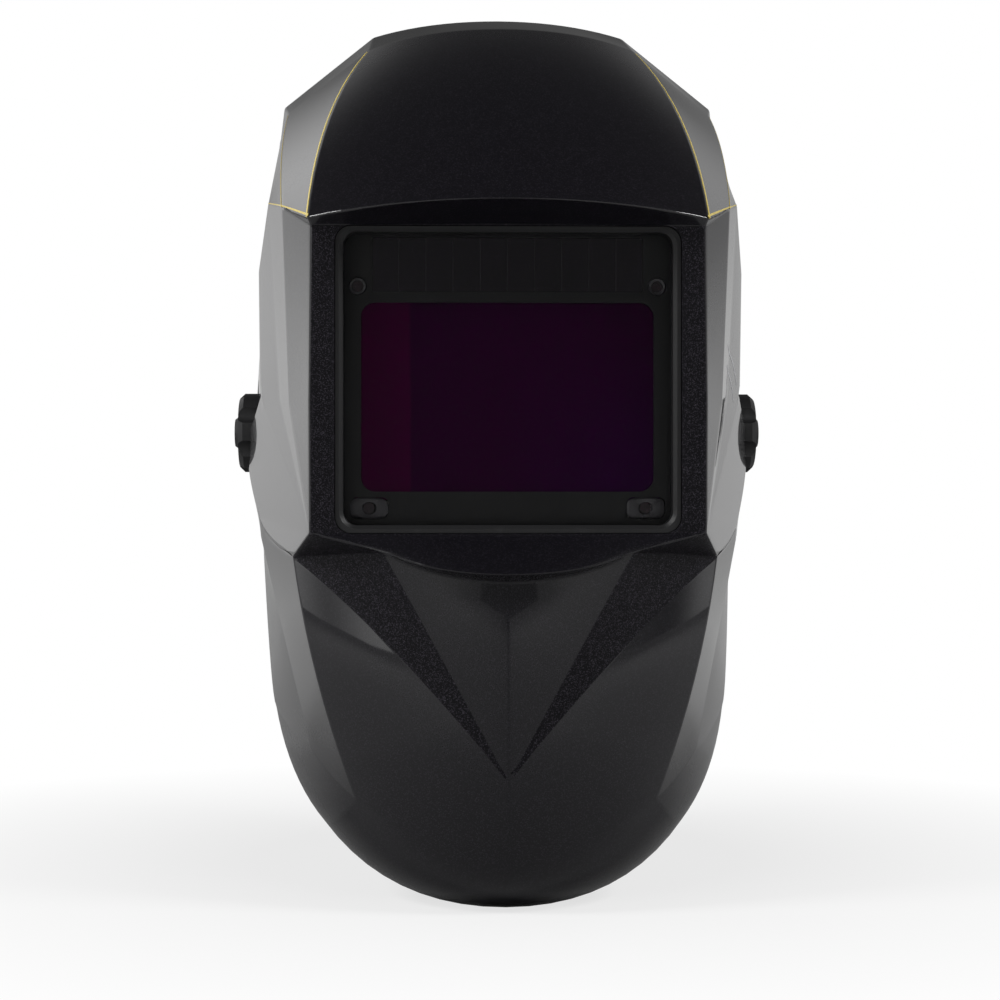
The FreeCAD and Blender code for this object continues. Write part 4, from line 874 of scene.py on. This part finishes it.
def boss_block(tree, side):
    """Solid backing under the skin round a pivot; the recess is cut into it later."""
    sides = 72
    points = [(BOSS_IN, y, z) for y, z in circle(BOSS_RINGS[0], sides)]
    for radius in BOSS_RINGS:
        points += [(skin_x(tree, y, z) - BOSS_COVER, y, z) for y, z in circle(radius, sides)]
    points.append((skin_x(tree, 0, 0) - BOSS_COVER, 0, 0))
    faces = []
    for level in range(len(BOSS_RINGS)):
        join_rings(faces, level * sides, (level + 1) * sides, sides)
    top = len(BOSS_RINGS) * sides
    faces += [(top + i, top + (i + 1) % sides, len(points) - 1) for i in range(sides)]
    faces.append(tuple(reversed(range(sides))))
    return new_object("boss", closed_mesh("boss", [(x * side, y, z) for x, y, z in points], faces))


def rounded_hood(tree):
    """The hood with rounded folds, pivot recesses and bores, and its window cut through."""
    inside = moulded("hood inside", (0.018, 0.018, 0.02), grain=1400, rough=0.5)
    hood = new_object("hood_shell", hood_mesh(), finish_for("shell"), hood_texture(), inside)
    rounding = hood.modifiers.new("Rounding", "BEVEL")
    rounding.limit_method = "WEIGHT"
    rounding.width = bpy.context.scene.helmet_hood.edge_width
    rounding.segments = 3
    rounding.use_clamp_overlap = False
    settle(hood)
    for side in (1, -1):
        combine(hood, boss_block(tree, side), "UNION")
        for radius, reach in ((DISH_RADIUS, (DISH_FLOOR, OUTSIDE)), (BUSH_RADIUS, BUSH_REACH)):
            combine(hood, rod_x(radius, *sorted(x * side for x in reach)), "DIFFERENCE")
    combine(hood, round_block(**WINDOW), "DIFFERENCE")
    smooth(hood.data, 32)
    flatten = hood.modifiers.new("Flat facets", "WEIGHTED_NORMAL")
    flatten.keep_sharp = True
    settle(hood)
    return hood


# ------------------------------------------------------------------ printed lines

def edge_on(facet, start, end):
    """The facet renamed so that its first side runs from one named corner to another."""
    for order in (facet, tuple(reversed(facet))):
        if start in order:
            turn = order.index(start)
            order = order[turn:] + order[:turn]
            if order[1] == end:
                return order
    raise RuntimeError(f"{start} and {end} aren't a side of {facet}")


def film(points, faces, rails):
    """Add a thin closed strip whose cross-sections are given as four points each."""
    first = len(points)
    for section in rails:
        points += section
    for i in range(len(rails) - 1):
        join_rings(faces, first + 4 * i, first + 4 * (i + 1), 4)
    last = first + 4 * (len(rails) - 1)
    faces += [(first, first + 1, first + 2, first + 3), (last + 3, last + 2, last + 1, last)]


FILM_SUNK = 0.1 * MM
FILM_PROUD = 0.07 * MM


def film_section(near, far, out):
    """Cross-section of a film between two points of the skin, a little sunk and a little proud."""
    return [near - out * FILM_SUNK, near + out * FILM_PROUD, far + out * FILM_PROUD,
            far - out * FILM_SUNK]


def crease_rails(facet, start, end, gap, width):
    """Cross-sections of a strip that runs beside a crease on one facet."""
    named = edge_on(facet, start, end)
    rails, steps, probe = [], 40, 0.02
    for step in range(steps + 1):
        t = step / steps
        edge = CAGE.outside(named, t, 0)
        inward = (CAGE.outside(named, t, probe) - edge) / probe
        ahead, behind = min(t + probe / 2, 1), max(t - probe / 2, 0)
        along = CAGE.outside(named, ahead, 0) - CAGE.outside(named, behind, 0)
        up = along.cross(inward).normalized()
        if up.dot(from_core(edge)) < 0:
            up = -up
        near = CAGE.outside(named, t, gap / inward.length)
        far = CAGE.outside(named, t, (gap + width) / inward.length)
        rails.append(film_section(near, far, up))
    return rails


BROW_CHEEK = ("brow_top", "cheek_top", "cheek_low", "brow_end")
CHEEK_TEMPLE = ("cheek_top", "temple_top", "temple", "cheek_low")
PINSTRIPES = [
    (BROW_CHEEK, "brow_top", "brow_end"),
    (BROW_CHEEK, "brow_end", "cheek_low"),
    (CHEEK_TEMPLE, "cheek_top", "cheek_low"),
    (CHEEK_TEMPLE, "cheek_low", "temple"),
]
PINSTRIPE_GAP = 0.9 * MM


def pinstripes():
    """The thin lines beside the creases of the brow, on both sides."""
    settings = bpy.context.scene.helmet_hood
    points, faces = [], []
    for facet, start, end in PINSTRIPES:
        rails = crease_rails(facet, start, end, PINSTRIPE_GAP, settings.pinstripe_width)
        film(points, faces, rails)
        film(points, faces, [[on_side(p, -1) for p in section] for section in rails])
    mesh = closed_mesh("pinstripes", points, faces)
    smooth(mesh, 40)
    return new_object("brow_pinstripes", mesh,
                      pinstripe_film("pinstripe film", tuple(settings.pinstripe)))


# Each dash as places (y, z) in millimetres that its curve is drawn towards.
SIDE_DASHES = [
    [(-101, 29.5), (-90, 27.2), (-73, 22.5), (-64, 16.5)],
    [(-101, 21.8), (-90, 19.8), (-78, 15.4), (-72, 10.0)],
]
DASH_TIP = 0.15 * MM
DASH_SWELL = 0.3 * MM


def side_dashes(tree):
    """Two thin pale lines that bend down the wearer's left side."""
    points, faces = [], []
    out = Vector((1, -0.25, 0)).normalized()
    for line in SIDE_DASHES:
        stations = [Vector(point) * MM for point in line]
        for _ in range(4):
            cut = [a.lerp(b, t) for a, b in zip(stations, stations[1:]) for t in (0.25, 0.75)]
            stations = [stations[0]] + cut + [stations[-1]]
        rails = []
        for i, (y, z) in enumerate(stations):
            half = DASH_TIP + DASH_SWELL * min(1.0, i / 4, (len(stations) - 1 - i) / 4)
            low = Vector((skin_x(tree, y, z - half), y, z - half))
            high = Vector((skin_x(tree, y, z + half), y, z + half))
            rails.append(film_section(low, high, out))
        film(points, faces, rails)
    return new_object("side_dashes", closed_mesh("side_dashes", points, faces),
                      pinstripe_film("pale film", (0.5, 0.5, 0.52)))


# ------------------------------------------------------------------ pads

BAND_TILT = math.radians(11)
BAND_MID = 42 * MM
BAND_LONGER = 4.2 * MM  # the band reaches further forward than sideways by this
NAPE_CENTRE = 30 * MM
CROWN_BASE = 54 * MM
CROWN_HEIGHT = 70.0 * MM
HEM = 3.2 * MM


def with_band(point):
    """A point of the headband's own frame, leaned with the band about the pivot axis."""
    x, y, z = point
    cos, sin = math.cos(BAND_TILT), math.sin(BAND_TILT)
    return Vector((x, y * cos + z * sin, z * cos - y * sin))


def front_path(outer):
    """Stations along the inside of the headband's front; outer is the pad's glued face."""
    front, start = outer + BAND_LONGER, -8 * MM
    stations = [(outer, -t * MM, (-1, 0)) for t in (-1.5, 1.5, 4.5)]
    for step in range(85):
        angle = math.pi * step / 84
        x, y = outer * math.cos(angle), start - front * math.sin(angle)
        inward = Vector((-math.cos(angle) / outer, math.sin(angle) / front)).normalized()
        stations.append((x, y, tuple(inward)))
    stations += [(-outer, -t * MM, (1, 0)) for t in (4.5, 1.5, -1.5)]
    return [((x, y, BAND_MID), (nx, ny, 0), (0, 0, 1)) for x, y, (nx, ny) in stations]


def nape_path(outer):
    """Stations along the inside of the rear band."""
    stations = []
    for step in range(49):
        angle = math.radians(51 + 78 * step / 48)
        x, y = outer * math.cos(angle), NAPE_CENTRE + outer * math.sin(angle)
        stations.append(((x, y, BAND_MID), (-math.cos(angle), -math.sin(angle), 0), (0, 0, 1)))
    return stations


def crown_path(half, height, reach):
    """Stations under the crown strap, from side to side."""
    stations = []
    for step in range(31):
        x = -reach + 2 * reach * step / 30
        z = CROWN_BASE + height * math.sqrt(1 - (x / half) ** 2)
        slope = Vector((x / half ** 2, (z - CROWN_BASE) / height ** 2)).normalized()
        stations.append(((x, 0, z), (-slope.x, 0, -slope.y), (0, 1, 0)))
    return stations


def pad_mesh(name, stations, width, thick, channels, ring=40):
    """A closed strip with round edges that lies along its stations; returns its held points."""
    points, faces, held = [], [], []
    count = len(stations)
    for i, (centre, inward, across) in enumerate(stations):
        centre, inward, across = Vector(centre), Vector(inward), Vector(across)
        end = min(i, count - 1 - i)
        round_off = math.sqrt(max(0.0, 1 - (1 - min(end + 0.35, 3) / 3) ** 2))
        for j in range(ring):
            angle = math.tau * j / ring
            c, s = math.cos(angle), math.sin(angle)
            u = math.copysign(abs(c) ** 0.55, c) * width / 2 * (0.82 + 0.18 * round_off)
            v = math.copysign(abs(s) ** 0.7, s) * thick / 2 * round_off
            hem = abs(abs(u) - (width / 2 - HEM)) < 0.75 * MM
            seam = hem or i % channels == channels // 2
            if v > 0 and seam and 2 < i < count - 3:
                v *= 0.42
                held.append(len(points))
            elif v < -thick * 0.2 or end < 2:
                held.append(len(points))
            points.append(with_band(centre + inward * (thick / 2 + v) + across * u))
    for i in range(count - 1):
        join_rings(faces, i * ring, (i + 1) * ring, ring)
    for first, turn in ((0, 1), ((count - 1) * ring, -1)):
        middle = sum(points[first:first + ring], Vector()) / ring
        points.append(middle)
        held.append(len(points) - 1)
        for j in range(ring):
            trio = (first + j, first + (j + 1) % ring, len(points) - 1)
            faces.append(trio[::turn])
    return closed_mesh(name, points, faces), held


INFLATE_FRAMES = 20
PRESSURE = 4.0
MOST_PUFF = 1.3 * MM


def inflate(pad, held, pressure, most):
    """Puff the cover between its seams with a short cloth run, then keep the result."""
    group = pad.vertex_groups.new(name="held")
    group.add(held, 1.0, "REPLACE")
    start = [v.co.copy() for v in pad.data.vertices]
    cloth = pad.modifiers.new("Cover", "CLOTH")
    weave = {"quality": 6, "mass": 0.15, "tension_stiffness": 8, "compression_stiffness": 6,
             "bending_stiffness": 0.4, "use_pressure": True,
             "uniform_pressure_force": pressure, "vertex_group_mass": "held"}
    for name, value in weave.items():
        setattr(cloth.settings, name, value)
    cloth.settings.effector_weights.gravity = 0
    cloth.point_cache.frame_start = 1
    cloth.point_cache.frame_end = INFLATE_FRAMES
    scene = bpy.context.scene
    for frame_number in range(1, INFLATE_FRAMES + 1):
        scene.frame_set(frame_number)
    settle(pad)
    scene.frame_set(1)
    for vertex, before in zip(pad.data.vertices, start):
        moved = vertex.co - before
        if moved.length > most:
            vertex.co = before + moved.normalized() * most
    pad.vertex_groups.clear()


def make_pad(name, stations, width, thick, channels):
    """A quilted cotton pad along its stations, puffed up by a short cloth run."""
    mesh, held = pad_mesh(name, stations, width, thick, channels)
    pad = new_object(name, mesh, finish_for("sweatband_foam"))
    inflate(pad, held, PRESSURE, MOST_PUFF)
    round_up = pad.modifiers.new("Cover", "SUBSURF")
    round_up.levels = 1
    round_up.render_levels = 1
    settle(pad)
    smooth(pad.data, 80)
    return pad


def stitches(pad, stations, width, thick):
    """Short thread capsules along both hems of a pad."""
    pitch = bpy.context.scene.helmet_headgear.stitch_pitch
    cover = BVHTree.FromObject(pad, bpy.context.evaluated_depsgraph_get())
    points, faces = [], []
    for edge in (-1, 1):
        line = []
        for centre, inward, across in stations[3:-3]:
            centre, inward, across = Vector(centre), Vector(inward), Vector(across)
            spot = centre + across * edge * (width / 2 - HEM) + inward * thick * 2
            line.append((with_band(spot), -(with_band(inward) - with_band((0, 0, 0)))))
        walked, due = 0.0, pitch
        for (p0, d0), (p1, d1) in zip(line, line[1:]):
            length = (p1 - p0).length
            while due < walked + length:
                t = (due - walked) / length
                hit, normal, _, _ = cover.ray_cast(p0.lerp(p1, t), d0.lerp(d1, t).normalized())
                if hit:
                    capsule(points, faces, hit, (p1 - p0).normalized(), normal, pitch * 0.62)
                due += pitch
            walked += length
    mesh = closed_mesh("stitches", points, faces)
    smooth(mesh, 60)
    return new_object(f"{pad.name}_stitches", mesh, thread())


def capsule(points, faces, centre, along, normal, length):
    """One stitch: a short bar with thinned ends that dips into the cover."""
    across = along.cross(normal).normalized()
    up = across.cross(along).normalized()
    first, sides = len(points), 6
    for place, girth in ((-0.5, 0.1), (-0.4, 0.8), (0.0, 1.0), (0.4, 0.8), (0.5, 0.1)):
        lift = (0.12 - 0.9 * place * place) * MM
        for j in range(sides):
            angle = math.tau * j / sides
            points.append(centre + along * (place * length) + up * lift
                          + (across * math.cos(angle) + up * math.sin(angle)) * girth * 0.24 * MM)
    for ring in range(4):
        join_rings(faces, first + ring * sides, first + (ring + 1) * sides, sides)
    faces.append(tuple(first + j for j in reversed(range(sides))))
    faces.append(tuple(first + 4 * sides + j for j in range(sides)))


# ------------------------------------------------------------------ operators

class HELMET_OT_stage(bpy.types.Operator):
    """Lay the pale floor and set the camera and the soft lights"""

    bl_idname = "helmet.stage"
    bl_label = "Stage"

    def execute(self, context):
        settings = context.scene.helmet_stage
        data = bpy.data.cameras.new("camera")
        data.lens = settings.lens
        data.sensor_width = 36
        data.clip_start = 0.01
        camera = bpy.data.objects.new("camera", data)
        camera.location = (-settings.sideways, -settings.distance, settings.level)
        camera.rotation_euler = (math.pi / 2, 0, -settings.turn)
        context.scene.collection.objects.link(camera)
        context.scene.camera = camera
        lay_floor(CAD_BOX[0][2] - FLOOR_GAP)
        light_world(context.scene)
        softbox("left_key", Vector((-1.5, -0.9, 1.2)), 0.55, 22)
        softbox("right_key", Vector((1.5, -0.9, 1.2)), 0.55, 22)
        context.scene.view_settings.view_transform = "Standard"
        return {"FINISHED"}


def lay_floor(level):
    """A round flat floor at a level."""
    points, sides, rings = [(0, 0, level)], 96, (0.3, 0.6, 1.2, 2.4, 5.0)
    for radius in rings:
        points += [(x, y, level) for x, y in circle(radius, sides)]
    faces = [(0, 1 + i, 1 + (i + 1) % sides) for i in range(sides)]
    for ring in range(len(rings) - 1):
        join_rings(faces, 1 + (ring + 1) * sides, 1 + ring * sides, sides)
    floor = new_object("floor", mesh_from("floor", points, faces), pale_floor())


def pale_floor():
    """Pale matt floor that turns plain white away from the helmet, for sight and for gloss; to
    gloss rays its middle is painted dark grey, a painted shade in the hood's reflections.
    """
    shader = Shader("pale floor")
    x, y, _ = shader.axes()
    radius = (x * x + y * y) ** 0.5
    sideways = shader.between((x * x) ** 0.5, 0.0, 0.2)
    away = shader.between(radius, 0.1, 0.35, 0.7, 1.0)
    reflected = shader.between(radius, 0.15, 1.2, 0.0, 0.25) * sideways
    path = shader.node("ShaderNodeLightPath")
    seen = Socket(shader, path.output.node.outputs["Is Camera Ray"])
    mirrored = Socket(shader, path.output.node.outputs["Is Glossy Ray"])
    cloud = shader.noise(3, 2)
    tone = shader.blend(cloud, (0.86, 0.86, 0.86), (0.9, 0.9, 0.9))
    # Painted shade: gloss rays see the floor's middle dark grey, less so at the sides, so the floor
    # reflected in the hood looks shaded.
    tone = shader.blend(mirrored * (1 - sideways * 0.4), tone, (0.3, 0.3, 0.3))
    matt = shader.node("ShaderNodeBsdfDiffuse", None, {"Color": tone})
    white = shader.node("ShaderNodeEmission", None, {"Color": (1, 1, 1, 1), "Strength": 1.0})
    share = (away * seen + reflected * mirrored).smaller(1.0)
    mixed = shader.node("ShaderNodeMixShader", None, {0: share, 1: matt, 2: white})
    shader.node("ShaderNodeOutputMaterial", None, {"Surface": mixed})
    return shader.material


# Soft bright patches of the room: the way to each, how tight it is and how bright.
GLOWS = [
    ((-0.75, -0.66, 0.0), 12, 1.6),
    ((0.75, -0.66, 0.0), 12, 0.22),
    ((-0.79, 0.61, 0.0), 10, 0.6),
    ((0.79, 0.61, 0.0), 10, 0.1),
    ((-0.57, 0.73, 0.37), 22, 1.2),
    ((-1.0, 0.0, 0.05), 60, 1.2),
    ((1.0, 0.0, 0.05), 60, 1.0),
    ((0.57, 0.73, 0.37), 22, 0.65),
]


def light_world(scene):
    """Plain white room: bright behind and at the sides, dim ahead and overhead, white to sight."""
    world = bpy.data.worlds.new("studio")
    scene.world = world
    world.use_nodes = True
    shader = Shader("studio", world.node_tree)
    x, y, z = shader.axes(shader.node("ShaderNodeTexCoord", output=0))
    level = 0.03 + shader.between(y, 0.75, 1.0) * shader.between(z, 0.3, 0.05) * 0.52
    level = level + shader.between(y, -0.6, -0.95) * shader.between(z, 0.3, 0.0) * 0.11
    for (to_x, to_y, to_z), tightness, strength in GLOWS:
        facing = (x * to_x + y * to_y + z * to_z).larger(0.0)
        level = level + facing ** tightness * strength
    seen = shader.node("ShaderNodeLightPath")
    white = shader.node("ShaderNodeBackground", None, {"Color": (1, 1, 1, 1), "Strength": 1.0})
    room = shader.node("ShaderNodeBackground", None, {"Color": (1, 1, 1, 1), "Strength": level})
    mixed = shader.node("ShaderNodeMixShader", None, {0: seen, 1: room, 2: white})
    shader.node("ShaderNodeOutputWorld", None, {"Surface": mixed})


def softbox(name, spot, size, brightness):
    """A square lamp whose face has a given brightness, turned to the origin."""
    data = bpy.data.lights.new(name, "AREA")
    data.size = size
    data.energy = brightness * math.pi * size * size
    lamp = bpy.data.objects.new(name, data)
    lamp.location = spot
    lamp.rotation_euler = (-spot).to_track_quat("-Z", "Y").to_euler()
    bpy.context.scene.collection.objects.link(lamp)


class HELMET_OT_hood(bpy.types.Operator):
    """Build the faceted hood with rounded folds, window opening and pivot recesses"""

    bl_idname = "helmet.hood"
    bl_label = "Hood"

    def execute(self, context):
        tree = skin_tree()
        hood = rounded_hood(tree)
        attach(hood, "visor")
        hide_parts("helmet_shell")
        for strip in (pinstripes(), side_dashes(tree)):
            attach(strip, "visor")
        dress("tilt_stop_pegs")
        return {"FINISHED"}


def eye_spots():
    """Middle of each arc sensor's face: across, front and height, with upper ones marked."""
    node = frame["nodes"]["arc_sensors"]
    points = [node.matrix_world @ vertex.co for vertex in node.data.vertices]
    middle = sum(point.z for point in points) / len(points)
    spots = []
    for side in (-1, 1):
        for upper in (False, True):
            eye = [p for p in points if p.x * side > 0 and (p.z > middle) == upper]
            low = Vector([min(p[i] for p in eye) for i in range(3)])
            high = Vector([max(p[i] for p in eye) for i in range(3)])
            spots.append(((low.x + high.x) / 2, low.y, (low.z + high.z) / 2, upper))
    return spots


# Rows of a sensor surround: share of the way out to its well's edge, and height before the eye.
BEZEL_ROWS = [(1.0, -0.5), (1.0, 0.9), (0.72, 1.4), (0.12, 1.2), (0.0, 0.1), (0.0, -0.5)]
EYE_HOLE = 1.95
# Half width, half height and squareness of the wells.
UPPER_WELL = (3.15, 3.15, 2)
LOWER_WELL = (6.75, 3.8, 3.4)


def bezels():
    """Flared surrounds in the sensor wells, each a closed ring about its round eye."""
    points, faces, count, rows = [], [], 64, len(BEZEL_ROWS)
    for x, face, z, upper in eye_spots():
        wide, tall, square = UPPER_WELL if upper else LOWER_WELL
        base = len(points)
        for share, height in BEZEL_ROWS:
            for u, v in circle(1, count):
                reach = (abs(u / wide) ** square + abs(v / tall) ** square) ** (-1 / square)
                radius = (EYE_HOLE + (reach - EYE_HOLE) * share) * MM
                points.append((x + u * radius, face - height * MM, z + v * radius))
        for row in range(rows):
            join_rings(faces, base + row * count, base + (row + 1) % rows * count, count)
    mesh = closed_mesh("sensor_bezels", points, faces)
    smooth(mesh, 35)
    finish = moulded("sensor surround", (0.085, 0.083, 0.09), grain=1800, rough=0.3)
    return new_object("sensor_bezels", mesh, finish)


class HELMET_OT_cartridge(bpy.types.Operator):
    """Finish the lens holder, cover plates, filter glass, electronics and controls"""

    bl_idname = "helmet.cartridge"
    bl_label = "Filter Cartridge"

    def execute(self, context):
        dress("adf_holder", "cover_lens", "lens_gasket", "adf_front_case", "adf_rear_case",
              "retainer_frame", "latch_left", "latch_right", "uv_ir_filter", "lcd_cell_front",
              "lcd_cell_rear", "rear_glass", "glass_seal", "inner_cover_plate", "circuit_board",
              "solar_panel", "arc_sensors", "coin_cells", "battery_cap_left",
              "battery_cap_right", "sensitivity_dial", "delay_dial", "shade_dial",
              "mode_switch", "test_button")
        rings = bezels()
        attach(rings, "visor")
        return {"FINISHED"}


class HELMET_OT_pivots(bpy.types.Operator):
    """Finish the pivot knobs, bolts, discs and washers"""

    bl_idname = "helmet.pivots"
    bl_label = "Pivots"

    def execute(self, context):
        for side in ("left", "right"):
            dress(f"pivot_bush_{side}", f"pivot_bolt_{side}", f"carriage_plate_{side}",
                  f"tilt_disc_{side}", f"wave_washer_{side}", f"cap_washer_{side}",
                  f"pivot_knob_{side}")
        return {"FINISHED"}


class HELMET_OT_headgear(bpy.types.Operator):
    """Finish the headband, crown straps, side arms, rear band and ratchet"""

    bl_idname = "helmet.headgear"
    bl_label = "Headgear"

    def execute(self, context):
        dress("headband", "side_arm_left", "side_arm_right", "arm_rivets", "crown_strap_left",
              "crown_strap_right", "crown_pegs", "band_keeper_left", "band_keeper_right",
              "rear_band", "rack_left", "rack_right", "ratchet_housing", "ratchet_pinion",
              "ratchet_knob")
        return {"FINISHED"}


class HELMET_OT_pads(bpy.types.Operator):
    """Build the sweatband, the crown pad and the nape pad with their seams"""

    bl_idname = "helmet.pads"
    bl_label = "Sweatband and Pads"

    def execute(self, context):
        pads = (
            ("sweatband_cover", "sweatband", "headgear", front_path(77.0 * MM), 29.5 * MM,
             4.9 * MM, 11),
            ("crown_pad_cover", "crown_pad", "headgear",
             crown_path(78.4 * MM, CROWN_HEIGHT, 31 * MM), 23.5 * MM, 4.9 * MM, 10),
            ("rear_pad_cover", "rear_pad", "rear_unit", nape_path(75.1 * MM), 17.5 * MM,
             4.9 * MM, 12),
        )
        for name, node, body, stations, width, thick, channels in pads:
            pad = make_pad(name, stations, width, thick, channels)
            seam = stitches(pad, stations, width, thick)
            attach(pad, body)
            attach(seam, body)
            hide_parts(node)
        return {"FINISHED"}


class HELMET_PT_panel(bpy.types.Panel):
    """Lists the helmet's pieces and their settings"""

    bl_idname = "HELMET_PT_panel"
    bl_label = "Welding Helmet"
    bl_space_type = "VIEW_3D"
    bl_region_type = "UI"
    bl_category = "Welding Helmet"

    def draw(self, context):
        groups = (("helmet_stage", ("helmet.stage",)), ("helmet_hood", ("helmet.hood",)),
                  ("helmet_cartridge", ("helmet.cartridge", "helmet.pivots")),
                  ("helmet_headgear", ("helmet.headgear", "helmet.pads")))
        for group, operators in groups:
            settings = getattr(context.scene, group)
            box = self.layout.box()
            for name in settings.bl_rna.properties.keys():
                if name not in ("rna_type", "name"):
                    box.prop(settings, name)
            for operator in operators:
                box.operator(operator)


CLASSES = (HoodSettings, CartridgeSettings, HeadgearSettings, StageSettings, HELMET_OT_stage,
           HELMET_OT_hood, HELMET_OT_cartridge, HELMET_OT_pivots, HELMET_OT_headgear,
           HELMET_OT_pads, HELMET_PT_panel)
GROUPS = {"helmet_hood": HoodSettings, "helmet_cartridge": CartridgeSettings,
          "helmet_headgear": HeadgearSettings, "helmet_stage": StageSettings}


def register():
    for made in CLASSES:
        bpy.utils.register_class(made)
    for name, group in GROUPS.items():
        setattr(bpy.types.Scene, name, bpy.props.PointerProperty(type=group))


def unregister():
    for name in GROUPS:
        delattr(bpy.types.Scene, name)
    for made in reversed(CLASSES):
        bpy.utils.unregister_class(made)


def main():
    register()
    bpy.ops.helmet.stage()
    bpy.ops.helmet.hood()
    bpy.ops.helmet.cartridge()
    bpy.ops.helmet.pivots()
    bpy.ops.helmet.headgear()
    bpy.ops.helmet.pads()


if __name__ == "__main__":
    main()
